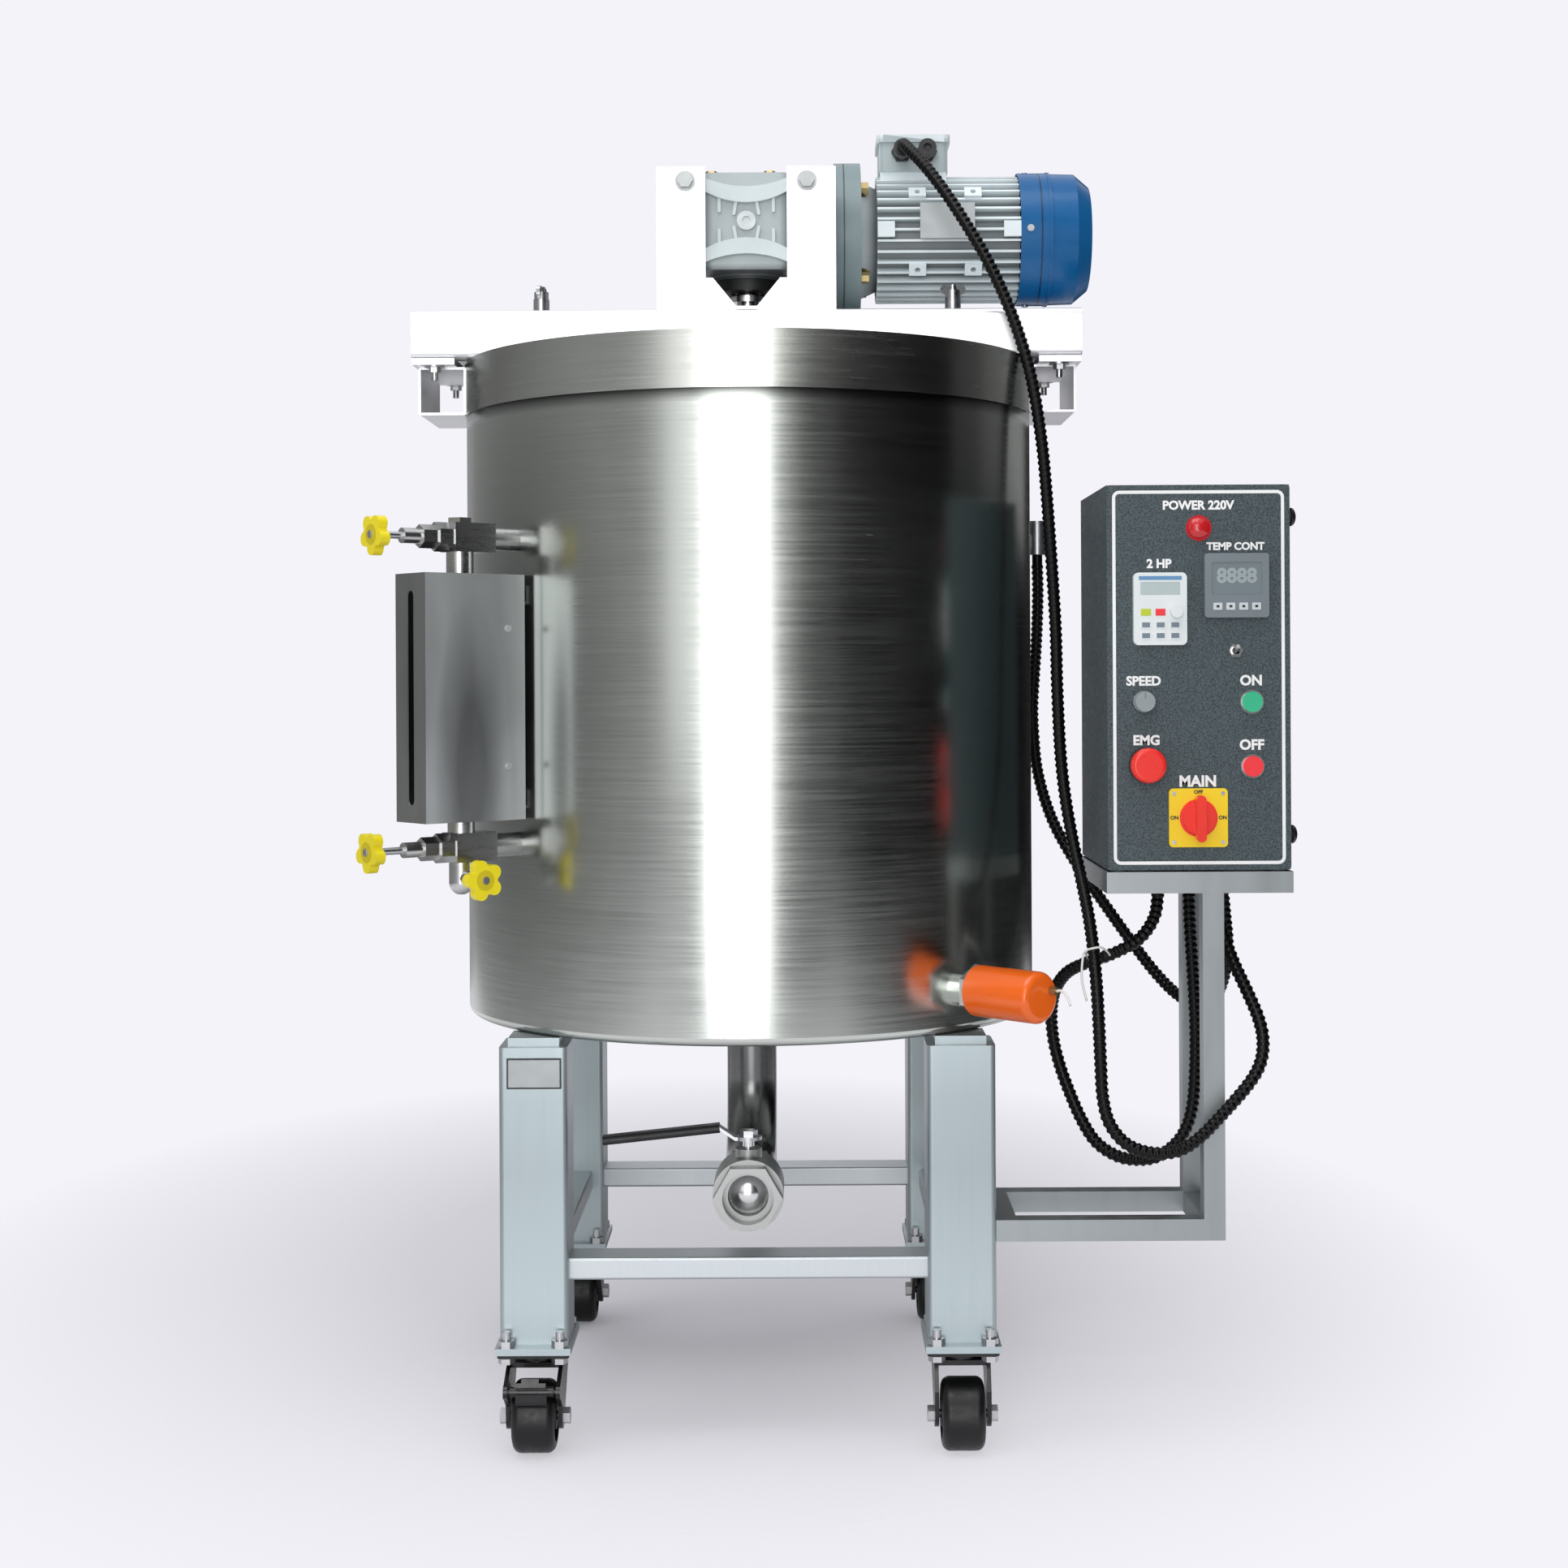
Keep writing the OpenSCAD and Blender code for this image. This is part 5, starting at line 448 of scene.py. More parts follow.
shade_near = bpy.data.node_groups.new("shade_near", "ShaderNodeTree")
for socket, kind in (("Centre", "NodeSocketVector"), ("Weights", "NodeSocketVector"),
                     ("Near", "NodeSocketFloat"), ("Far", "NodeSocketFloat"), ("Least", "NodeSocketFloat")):
    shade_near.interface.new_socket(socket, in_out="INPUT", socket_type=kind)
shade_near.interface.new_socket("Value", in_out="OUTPUT", socket_type="NodeSocketFloat")
nodes, links = shade_near.nodes, shade_near.links
given, result = nodes.new("NodeGroupInput"), nodes.new("NodeGroupOutput")
spot = nodes.new("ShaderNodeTexCoord")
aside = nodes.new("ShaderNodeVectorMath")
aside.operation = "SUBTRACT"
weighed = nodes.new("ShaderNodeVectorMath")
weighed.operation = "MULTIPLY"
away = nodes.new("ShaderNodeVectorMath")
away.operation = "LENGTH"
ramp = nodes.new("ShaderNodeMapRange")
links.new(spot.outputs["Object"], aside.inputs[0])
links.new(given.outputs["Centre"], aside.inputs[1])
links.new(aside.outputs[0], weighed.inputs[0])
links.new(given.outputs["Weights"], weighed.inputs[1])
links.new(weighed.outputs[0], away.inputs[0])
links.new(away.outputs["Value"], ramp.inputs["Value"])
links.new(given.outputs["Near"], ramp.inputs["From Min"])
links.new(given.outputs["Far"], ramp.inputs["From Max"])
links.new(given.outputs["Least"], ramp.inputs["To Min"])
links.new(ramp.outputs["Result"], result.inputs["Value"])


def darken_near(finish, centre, weights, near, far, least):
    """Darkens a finish close to a plane, a line or a point: painted shade in hollows, under parts and between
    them, and dark lines at joints.
    """
    nodes, links = finish.node_tree.nodes, finish.node_tree.links
    shader = nodes["Principled BSDF"]
    shade = nodes.new("ShaderNodeGroup")
    shade.node_tree = shade_near
    put(shade, {"Centre": centre, "Weights": weights, "Near": near, "Far": far, "Least": least})
    darker = nodes.new("ShaderNodeMix")
    darker.data_type = "RGBA"
    darker.blend_type = "MULTIPLY"
    put(darker, {"Factor": 1.0})
    links.new(shader.inputs["Base Color"].links[0].from_socket, darker.inputs["A"])
    links.new(shade.outputs["Value"], darker.inputs["B"])
    links.new(darker.outputs["Result"], shader.inputs["Base Color"])


def dress(node, finishes, choose=None):
    """Gives a solid its finishes; choose picks one for each face from its middle and its normal."""
    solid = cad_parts[node]
    solid.data.materials.clear()
    for finish in finishes:
        solid.data.materials.append(finish)
    for face in solid.data.polygons:
        face.material_index = choose(face.center, face.normal) if choose else 0
    return solid


leg_at = 0.25
leg_reach = 0.045
rail_shade_z = 0.37
frame_steel = grained_steel("frame_steel", (0.50, 0.545, 0.56), (0.66, 0.70, 0.715), 0.38, 0.52,
                            (180, 180, 5), 0.04)
# Painted shade: the legs' front faces take a darker copy of the frame's steel, which darkens further round
# the rails' height.
leg_front_painted_shade = grained_steel("leg_front_painted_shade", (0.39, 0.46, 0.475), (0.55, 0.63, 0.645), 0.36, 0.50,
                          (120, 120, 5), 0.04)
darken_near(leg_front_painted_shade, (0, 0, rail_shade_z), (0, 0, 1), 0.04, 0.19, 0.78)
dress("base_frame", [frame_steel, leg_front_painted_shade],
      lambda c, n: 1 if n.y < -0.5 and abs(abs(c.x) - leg_at) < leg_reach else 0)


# The plate on the front left leg: a thin bright metal plate with a dark rim, left bare and stuck
# to the leg's front face.
def bare_mesh(name, body, finish):
    """Starts a small piece: returns its mesh builder and a function that sets it in place."""
    build = bmesh.new()

    def done():
        mesh = bpy.data.meshes.new(name)
        build.to_mesh(mesh)
        build.free()
        mesh.shade_smooth()
        mesh.set_sharp_from_angle(angle=math.radians(35))
        mesh.materials.append(finish)
        piece = bpy.data.objects.new(name, mesh)
        scene.collection.objects.link(piece)
        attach(piece, body)

    return build, done


def flat_plate(name, size, at, finish, body="machine", edge=0.0004):
    """A thin plate with softened edges, its middle at a point."""
    build, done = bare_mesh(name, body, finish)
    bmesh.ops.create_cube(build, size=1.0, matrix=Matrix.Translation(at) @ Matrix.Diagonal((*size, 1)))
    bmesh.ops.bevel(build, geom=build.edges[:], offset=min(edge, min(size) * 0.4), segments=2, affect="EDGES")
    done()


plate_silver = moulded("plate_silver", screen_colour(172, 177, 178), 0.34, 0.46, 80, 0.02, metallic=0.25)
plate_dark = moulded("plate_dark", screen_colour(58, 60, 62), 0.4, 0.55, 70)
plate_x = -0.2485
plate_z = 0.444
leg_front = -0.2905
face_lift = 0.0003
flat_plate("leg_plate_rim", (0.064, 0.0010, 0.036), (plate_x, leg_front, plate_z), plate_dark)
flat_plate("leg_plate_face", (0.060, 0.0012, 0.032), (plate_x, leg_front - face_lift, plate_z), plate_silver)

# The casters: pressed and black painted plates and forks, bolted under the legs, with hard black
# tyres on grey hubs that run on steel axles. The front left one has a brake pedal.
caster_black = moulded("caster_black", screen_colour(20, 21, 22), 0.18, 0.32, 70, 0.05, coat=0.15)
tyre_black = moulded("tyre_black", screen_colour(15, 16, 17), 0.32, 0.50, 120, 0.10)
hub_grey = moulded("hub_grey", screen_colour(70, 71, 73), 0.4, 0.5, 90, 0.05)
axle_steel = grained_steel("axle_steel", (0.5, 0.5, 0.51), (0.66, 0.66, 0.67), 0.3, 0.42, (90, 90, 90), 0.02)
dress("caster_plates", [caster_black])
dress("brake_pedal", [caster_black])
fork_half_width = 0.0331
axle_nut_top = 0.055
hub_radius = 0.0295
for corner in ("front_left", "front_right", "rear_left", "rear_right"):
    wheel_low, wheel_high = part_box("caster_wheel_" + corner)
    axle = (wheel_low + wheel_high) / 2
    dress("caster_fork_" + corner, [caster_black, axle_steel],
          lambda c, n: 1 if abs(c.x - axle.x) > fork_half_width and c.z < axle_nut_top else 0)
    dress("caster_wheel_" + corner, [tyre_black, hub_grey],
          lambda c, n: 1 if math.hypot(c.y - axle.y, c.z - axle.z) < hub_radius else 0)

# The jacket, vessel and lid: stainless sheet, rolled, welded and polished, so that it mirrors the
# room in upright bands with fine brushing round the shell. The flap and the stirrer inside are of
# the same steel, and the two brackets that carry the beam are welded to the jacket.
shell_steel = grained_steel("shell_steel", (0.535, 0.56, 0.525), (0.685, 0.715, 0.675), 0.17, 0.28,
                            (8, 8, 420), 0.038)
lid_steel = grained_steel("lid_steel", (0.63, 0.65, 0.60), (0.785, 0.81, 0.76), 0.19, 0.30, (9, 9, 300), 0.04)
vessel_steel = grained_steel("vessel_steel", (0.60, 0.60, 0.59), (0.74, 0.74, 0.73), 0.16, 0.26,
                             (9, 9, 420), 0.03)
bracket_steel = grained_steel("bracket_steel", (0.74, 0.75, 0.76), (0.88, 0.89, 0.90), 0.34, 0.46,
                              (6, 160, 160), 0.04)
lid_edge_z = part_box("lid")[0].z
behind_gauge = (-0.2755, -0.2317, 0.889)
lid_left = (-0.31, -0.19, 0)
# Painted shade: a narrow dark band on the jacket just under the lid's hem.
darken_near(shell_steel, (0, 0, lid_edge_z), (0, 0, 1), 0.001, 0.016, 0.12)
# Painted shade: the jacket darker round the gauge, behind its cover.
darken_near(shell_steel, behind_gauge, (1, 1, 0.36), 0.03, 0.17, 0.42)
# Painted shade: the lid darker towards its left side.
darken_near(lid_steel, lid_left, (1, 1, 0), 0.02, 0.17, 0.55)
past_shell = 0.3605
bracket_foot = 1.2
bracket_half_width = 0.12


def on_bracket(c, n):
    """Picks the brackets' steel for faces outside the shell near its top, at either side."""
    outside = math.hypot(c.x, c.y) > past_shell
    return 1 if outside and c.z > bracket_foot and abs(c.y) < bracket_half_width else 0


dress("outer_jacket", [shell_steel, bracket_steel], on_bracket)
dress("inner_vessel", [vessel_steel])
dress("lid", [lid_steel])
dress("filling_flap", [vessel_steel])
dress("stirrer", [vessel_steel])

# The cross beam and the gearbox bracket: bright folded steel, bolted across the tank's top. The
# bolts and wing nuts are plated steel, and the bracket's faces behind its front flanges are painted shade, a
# dark copy of the steel.
beam_steel = grained_steel("beam_steel", (0.78, 0.79, 0.80), (0.90, 0.91, 0.92), 0.34, 0.46,
                           (5, 170, 170), 0.04)
bolt_steel = grained_steel("bolt_steel", (0.48, 0.49, 0.50), (0.68, 0.69, 0.70), 0.24, 0.38,
                           (110, 110, 110), 0.03)
bracket_shade = grained_steel("bracket_shade", (0.10, 0.10, 0.10), (0.18, 0.18, 0.18), 0.40, 0.52,
                              (110, 110, 110), 0.03)
bolt_dull = moulded("bolt_dull", screen_colour(186, 190, 190), 0.34, 0.46, 90, 0.03, metallic=0.3)
dress("cross_beam", [beam_steel])
bracket_back_of_front = -0.0868
bracket_inner_side = 0.1045
# The bracket's faces behind its front take bracket_shade: painted shade.
dress("gearbox_bracket", [beam_steel, bracket_shade],
      lambda c, n: 1 if c.y > bracket_back_of_front and abs(c.x) < bracket_inner_side else 0)
bolt_front = -0.087
bolt_low = 1.40
dress("fasteners", [bolt_steel, bolt_dull], lambda c, n: 1 if c.y < bolt_front and c.z > bolt_low else 0)
dress("wing_nut_left", [bolt_steel])
dress("wing_nut_right", [bolt_steel])

# The gearbox and motor: die-cast light grey housings, joined by a round flange with brass-coloured
# nuts, and a pressed blue cowl over the fan. A small cast box on top takes the wires through black
# glands. The worm wheel and rotor turn inside.
cowl_low, cowl_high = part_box("fan_cowl")
motor_axis = (cowl_low + cowl_high) / 2
joint_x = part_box("motor_frame")[0].x
casting_low = 1.411
casting_end = 0.111
foot_pad_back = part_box("gearbox_housing")[0].y + 0.0095
casting_grey = moulded("casting_grey", screen_colour(208, 219, 221), 0.36, 0.50, 60, 0.10)
# Painted shade on the casting: the recessed face behind the foot pads is darker, and the underside and the
# front's lower edge are nearly black.
darken_near(casting_grey, (0, foot_pad_back, 0), (0, 1, 0), 0.0008, 0.004, 0.72)
darken_near(casting_grey, (0, 0, casting_low), (0, 0, 1), 0.003, 0.014, 0.10)
flange_grey = moulded("flange_grey", screen_colour(128, 146, 149), 0.36, 0.50, 60, 0.10)
darken_near(flange_grey, (joint_x, 0, 0), (1, 0, 0), 0.0004, 0.0016, 0.25)
plug_grey = moulded("plug_grey", screen_colour(186, 192, 192), 0.36, 0.48, 70, 0.05, metallic=0.4)
plug_brass = moulded("plug_brass", screen_colour(168, 150, 104), 0.26, 0.38, 90, 0.03, metallic=0.9)
front_plug_y = -0.079
front_plug_radius = 0.0125
top_plug_z = 1.5393
top_plug_y = -0.02
top_plug_x = 0.06


def casting_finish(c, n):
    """Picks flange grey, brass for the top plug, plug grey for the front one, or the casting's grey."""
    if c.x > casting_end:
        return 3
    if c.z > top_plug_z and c.y < top_plug_y and abs(c.x) < top_plug_x:
        return 1
    return 2 if math.hypot(c.x, c.z - motor_axis.z) < front_plug_radius and c.y < front_plug_y else 0


dress("gearbox_housing", [casting_grey, plug_brass, plug_grey, flange_grey], casting_finish)
fin_root = 0.068
fin_tip = 0.0805
motor_grey = moulded("motor_grey", screen_colour(230, 241, 244), 0.36, 0.50, 60, 0.08)
# Painted shade between the fins: the motor's grey darkens towards the fins' roots.
darken_near(motor_grey, (0, motor_axis.y, motor_axis.z), (0, 1, 1), fin_root, fin_tip, 0.16)
flange_end = 0.1462
nut_end = 0.158
nut_offset = 0.0583
nut_reach = 0.0115
nut_places = [(motor_axis.y + a, motor_axis.z + b)
              for a in (-nut_offset, nut_offset) for b in (-nut_offset, nut_offset)]


def motor_finish(c, n):
    """Picks flange grey, brass for the four nuts behind the flange, or the motor's grey."""
    if c.x < flange_end:
        return 2
    to_nut = min(math.hypot(c.y - y, c.z - z) for y, z in nut_places)
    return 1 if c.x < nut_end and to_nut < nut_reach else 0


dress("motor_frame", [motor_grey, plug_brass, flange_grey], motor_finish)
cowl_seam_x = 0.378
cowl_blue = moulded("cowl_blue", screen_colour(4, 92, 150), 0.24, 0.34, 40, 0.02, coat=0.08)
put(cowl_blue.node_tree.nodes["Principled BSDF"], {"Specular IOR Level": 0.3})
darken_near(cowl_blue, (cowl_seam_x, 0, 0), (1, 0, 0), 0.0006, 0.0016, 0.3)
dress("fan_cowl", [cowl_blue])
box_lid_seam_z = 1.603
# Painted shade: the terminal box's front, below its lid's seam, takes a darker copy of the motor's grey.
box_front_painted_shade = moulded("box_front_painted_shade", screen_colour(176, 190, 192), 0.36, 0.50, 60, 0.08)
dress("terminal_box", [motor_grey, box_front_painted_shade],
      lambda c, n: 1 if n.y < -0.5 and c.z < box_lid_seam_z else 0)
gland_black = moulded("gland_black", screen_colour(24, 24, 26), 0.32, 0.46, 90)
heater_gland_top = 0.60
probe_head_low = 0.9
probe_head_high = 1.2
dress("cable_glands", [gland_black, plug_brass, bolt_steel],
      lambda c, n: 1 if c.z < heater_gland_top
      else 2 if 0.30 < c.x < 0.41 and c.y > 0.0 and probe_head_low < c.z < probe_head_high else 0)
shaft_hub_radius = 0.0215
dress("motor_rotor", [bolt_steel])
dress("worm_wheel", [plug_brass, bolt_steel],
      lambda c, n: 1 if math.hypot(c.x, c.y) < shaft_hub_radius else 0)

# The seal ring under the gearbox: dark rubber pressed into the casting round the hub, where the
# stirrer's shaft comes out. Its dark colour also stands in for the shade in the bracket's V, as painted
# shade.
# The seal's dark rubber is partly painted shade for the V below the gearbox.
seal_rubber_and_painted_shade = moulded("seal_rubber_and_painted_shade", screen_colour(26, 28, 29), 0.45, 0.6, 60)
seal_sides = 48
seal_radius = 0.046
seal_top = casting_low + 0.001
seal_foot = casting_low - 0.014
turns = [math.tau * k / seal_sides for k in range(seal_sides)]
build, done = bare_mesh("gearbox_seal", "machine", seal_rubber_and_painted_shade)
seal_loops = [[build.verts.new((radius * math.cos(t), radius * math.sin(t), z)) for t in turns]
              for radius, z in ((seal_radius, seal_top), (seal_radius, seal_foot),
                                (shaft_hub_radius, seal_foot), (shaft_hub_radius, seal_top))]
for loop, after in zip(seal_loops, seal_loops[1:] + seal_loops[:1]):
    for k in range(seal_sides):
        build.faces.new((loop[k], after[k], after[(k + 1) % seal_sides], loop[(k + 1) % seal_sides]))
done()


# The motor's small parts: four plated screws that hold the cowl to the motor, and a bare bright
# plate fixed to the fins at the front.
def round_bar(name, radius, depth, at, along, finish, body="machine", sides=32, edge=0.0005):
    """A short round piece with softened rims, starting at a point and running along a direction."""
    build, done = bare_mesh(name, body, finish)
    turn = Vector(along).to_track_quat("Z", "Y").to_matrix().to_4x4()
    middle = Vector(at) + Vector(along).normalized() * depth / 2
    bmesh.ops.create_cone(build, cap_ends=True, segments=sides, radius1=radius, radius2=radius, depth=depth,
                          matrix=Matrix.Translation(middle) @ turn)
    rims = [e for e in build.edges if len(e.link_faces) == 2 and any(len(f.verts) > 4 for f in e.link_faces)]
    bmesh.ops.bevel(build, geom=rims, offset=edge, segments=2, affect="EDGES")
    done()


cowl_screw = moulded("cowl_screw", screen_colour(170, 172, 174), 0.3, 0.4, 90, metallic=0.9)
screw_x = 0.363
screw_sink = 0.0015
screw_from_axis = (cowl_high.z - cowl_low.z) / 2 - screw_sink
for number, angle in enumerate((0, 90, 180, 270)):
    outward = Vector((0, math.sin(math.radians(angle)), math.cos(math.radians(angle))))
    start = Vector((screw_x, motor_axis.y, motor_axis.z)) + outward * screw_from_axis
    round_bar(f"cowl_screw_{number + 1}", 0.0045, 0.0025, start, outward, cowl_screw, sides=16)
motor_plate_at = (0.256, -0.0290, 1.487)
flat_plate("motor_plate", (0.070, 0.0012, 0.046), motor_plate_at, plate_silver)

# The level gauge: two turned steel valves screwed into the jacket, with a glass tube between them
# behind a folded and slotted steel cover, which is held by clips and small screws.
valve_steel = grained_steel("valve_steel", (0.52, 0.53, 0.53), (0.62, 0.62, 0.61), 0.24, 0.32,
                            (30, 30, 240), 0.02)
dress("gauge_valves", [valve_steel])
gauge_clear = bpy.data.materials.new("gauge_clear")
gauge_clear.use_nodes = True
nodes, links = gauge_clear.node_tree.nodes, gauge_clear.node_tree.links
glass = nodes["Principled BSDF"]
put(glass, {"Base Color": (0.92, 0.97, 0.97, 1), "Transmission Weight": 1.0, "IOR": 1.5})
links.new(noise_value(nodes, 40, 0.02, 0.10), glass.inputs["Roughness"])
dress("gauge_glass", [gauge_clear])
glass_low, glass_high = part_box("gauge_glass")
gauge_axis = (glass_low + glass_high) / 2
gauge_axis.z = 0
gauge_out = gauge_axis.normalized()
gauge_side = Vector((-gauge_out.y, gauge_out.x, 0))
cover_half_width = 0.033
cover_middle = 0.006
cover_painted_shade_z = 0.80
screw_lift = 0.0003
inner_reach = 0.012
cover_steel = grained_steel("cover_steel", (0.64, 0.68, 0.68), (0.95, 0.98, 0.98), 0.40, 0.52,
                            (26, 26, 4), 0.04)
put(cover_steel.node_tree.nodes["Principled BSDF"], {"Specular Tint": (0.35, 0.35, 0.35, 1)})
cover_side = gauge_axis + gauge_side * cover_half_width + gauge_out * cover_middle
# Painted shade on the cover's side, darkest round a point low on it.
darken_near(cover_steel, (cover_side.x, cover_side.y, cover_painted_shade_z), (1, 1, 0.24), 0.018, 0.050, 0.40)
# Painted shade: the cover's front faces take a darker copy of its steel.
cover_front = grained_steel("cover_front", (0.22, 0.23, 0.22), (0.42, 0.43, 0.42), 0.40, 0.52,
                            (26, 26, 4), 0.04)
cover_shade = moulded("cover_shade", screen_colour(24, 25, 26), 0.5, 0.6, 60)


def cover_finish(c, n):
    """Picks the screws' steel, a darker copy of the steel for the front as painted shade, painted shade for
    faces inside the cover, or the sides' steel.
    """
    if abs((c - gauge_axis).dot(gauge_side)) > cover_half_width + screw_lift:
        return 2
    if n.dot(gauge_out) > 0.9:
        return 3
    return 1 if n.x * (gauge_axis.x - c.x) + n.y * (gauge_axis.y - c.y) > inner_reach else 0


dress("gauge_cover", [cover_steel, cover_shade, bolt_dull, cover_front], cover_finish)

# The gauge's star wheels: yellow plastic moulded on plain steel spindles, each with a disc of
# darker yellow in its middle, painted shade for the recess there, and a screw that holds it. Two close the
# gauge and one drains it.
wheel_yellow = moulded("wheel_yellow", screen_colour(244, 226, 24), 0.28, 0.40, 50, coat=0.1)
# Painted shade: a darker yellow for the disc that stands for each wheel's recess.
wheel_recess_painted_shade = moulded("wheel_recess_painted_shade", screen_colour(212, 194, 14), 0.34, 0.46, 50)
upper_tap_z = 1.070
lower_tap_z = 0.708
cock_z = 0.672
spindle_radius = 0.0046
disc_radius = 0.0118
disc_sink = 0.0002
star_inside = 0.012


def from_line(point, at, way):
    """How far a point is from a line."""
    return ((point - at) - way * (point - at).dot(way)).length


for wheel, body, line_at, way in (
        ("upper_gauge_wheel", "upper_gauge_body", Vector((0, 0, upper_tap_z)), gauge_out),
        ("lower_gauge_wheel", "lower_gauge_body", Vector((0, 0, lower_tap_z)), gauge_out),
        ("gauge_drain_wheel", "gauge_drain_body", gauge_axis + Vector((0, 0, cock_z)), gauge_side)):
    star = dress(wheel, [wheel_yellow, bolt_steel],
                 lambda c, n: 1 if from_line(c, line_at, way) < spindle_radius else 0)
    spots = [(v.co - line_at).dot(way) for v in star.data.vertices
             if from_line(v.co, line_at, way) > star_inside]
    outward = way if max(spots) > -min(spots) else -way
    front = max(abs(spot) for spot in spots)
    round_bar(wheel + "_disc", disc_radius, 0.0007, line_at + outward * (front - disc_sink), outward,
              wheel_recess_painted_shade, body)
    round_bar(wheel + "_screw", spindle_radius, 0.0022, line_at + outward * front, outward, bolt_steel,
              body)

# The heater: a steel element screwed into the jacket's socket, under a glossy orange plastic cap
# with a brass wire gland. A short white wire shows at the cap's end.
cap_orange = moulded("cap_orange", screen_colour(255, 108, 20), 0.18, 0.28, 40, coat=0.3)
wire_white = moulded("wire_white", screen_colour(240, 240, 240), 0.4, 0.5, 60)
dress("heater_element", [bolt_steel])
dress("heater_cap", [cap_orange])
heater_angle = 314
wire_radius = 0.0016
wire_step = 0.002
heater_turn = Matrix.Rotation(math.radians(heater_angle), 4, "Z")
wire_points = [heater_turn @ Vector(p) for p in (
    (0.495, 0.015, 0.5445), (0.503, 0.015, 0.5455), (0.512, 0.013, 0.541), (0.520, 0.010, 0.531))]
wire_line = even_line(hose_line(wire_points), wire_step)[0]
heater_wire = swept_tube("heater_wire", wire_line, [wire_radius] * len(wire_line), 8, wire_white)
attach(heater_wire, "machine")

# The drain: a polished bent pipe welded under the vessel, a turned ball valve with its mirror-bright
# ball, and a flat steel lever dipped in black plastic.
pipe_steel = grained_steel("pipe_steel", (0.15, 0.155, 0.15), (0.24, 0.245, 0.24), 0.20, 0.30,
                           (40, 40, 40), 0.02)
tap_steel = grained_steel("tap_steel", (0.34, 0.35, 0.34), (0.46, 0.47, 0.46), 0.34, 0.46, (90, 20, 90), 0.03)
ball_chrome = grained_steel("ball_chrome", (0.66, 0.66, 0.66), (0.78, 0.78, 0.78), 0.14, 0.22,
                            (30, 30, 30), 0.01)
sleeve_black = moulded("sleeve_black", screen_colour(28, 29, 32), 0.36, 0.5, 60)
sleeve_end = -0.0345
dress("drain_pipe", [pipe_steel])
dress("drain_valve_body", [tap_steel])
dress("drain_ball", [ball_chrome])
dress("drain_lever", [sleeve_black, bolt_steel], lambda c, n: 1 if c.x > sleeve_end else 0)

# The control stand: square steel tube arms and posts with an angle-iron tray, welded to the base
# frame's right side and satin finished like the legs.
stand_steel = grained_steel("stand_steel", (0.29, 0.32, 0.325), (0.41, 0.44, 0.445), 0.34, 0.46,
                            (60, 60, 8), 0.04)
dress("stand_frame", [stand_steel])

# The control box: folded sheet with a coarse dark grey powder coat, standing in the tray, with black
# plugs in its right side. The drive sits on a bright plate inside.
box_coat = bpy.data.materials.new("box_coat")
box_coat.use_nodes = True
nodes, links = box_coat.node_tree.nodes, box_coat.node_tree.links
coat_shader = nodes["Principled BSDF"]
speck = noise_value(nodes, 520, 0.0, 1.0)
coat_mix = nodes.new("ShaderNodeMix")
coat_mix.data_type = "RGBA"
put(coat_mix, {"A": screen_colour(26, 36, 40), "B": screen_colour(84, 100, 106)})
coat_bump = nodes.new("ShaderNodeBump")
put(coat_bump, {"Strength": 0.25, "Distance": 0.0005})
links.new(speck, coat_mix.inputs["Factor"])
links.new(coat_mix.outputs["Result"], coat_shader.inputs["Base Color"])
links.new(noise_value(nodes, 200, 0.42, 0.62), coat_shader.inputs["Roughness"])
links.new(speck, coat_bump.inputs["Height"])
links.new(coat_bump.outputs["Normal"], coat_shader.inputs["Normal"])
dress("control_box", [box_coat])
dress("box_door", [box_coat])
dress("side_plugs", [gland_black])
drive_grey = moulded("drive_grey", screen_colour(70, 74, 78), 0.4, 0.55, 60)
mount_plate_y = -0.049
dress("drive_unit", [drive_grey, plate_silver], lambda c, n: 1 if c.y > mount_plate_y else 0)

# The door's line: a thin pale frame of ink, printed on the coat just inside the door's edge, with
# rounded corners.
line_pale = moulded("line_pale", screen_colour(250, 251, 251), 0.4, 0.5, 60)
door_low, door_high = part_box("box_door")
door_y = door_low.y
print_lift = 0.0003
line_inset = 0.0065
line_width = 0.0038
line_corner = 0.0085
corner_steps = 6
left, right = door_low.x + line_inset + line_corner, door_high.x - line_inset - line_corner
foot, top = door_low.z + line_inset + line_corner, door_high.z - line_inset - line_corner
build, done = bare_mesh("door_line", "door_body", line_pale)
rings = []
for radius in (line_corner, line_corner - line_width):
    ring = []
    for x, z, start in ((right, top, 0), (left, top, 90), (left, foot, 180), (right, foot, 270)):
        for step in range(corner_steps + 1):
            a = math.radians(start + 90 * step / corner_steps)
            place = (x + radius * math.cos(a), door_y - print_lift, z + radius * math.sin(a))
            ring.append(build.verts.new(place))
    rings.append(ring)
outer, inner = rings
for i in range(len(outer)):
    after = (i + 1) % len(outer)
    build.faces.new((outer[i], outer[after], inner[after], inner[i]))
done()

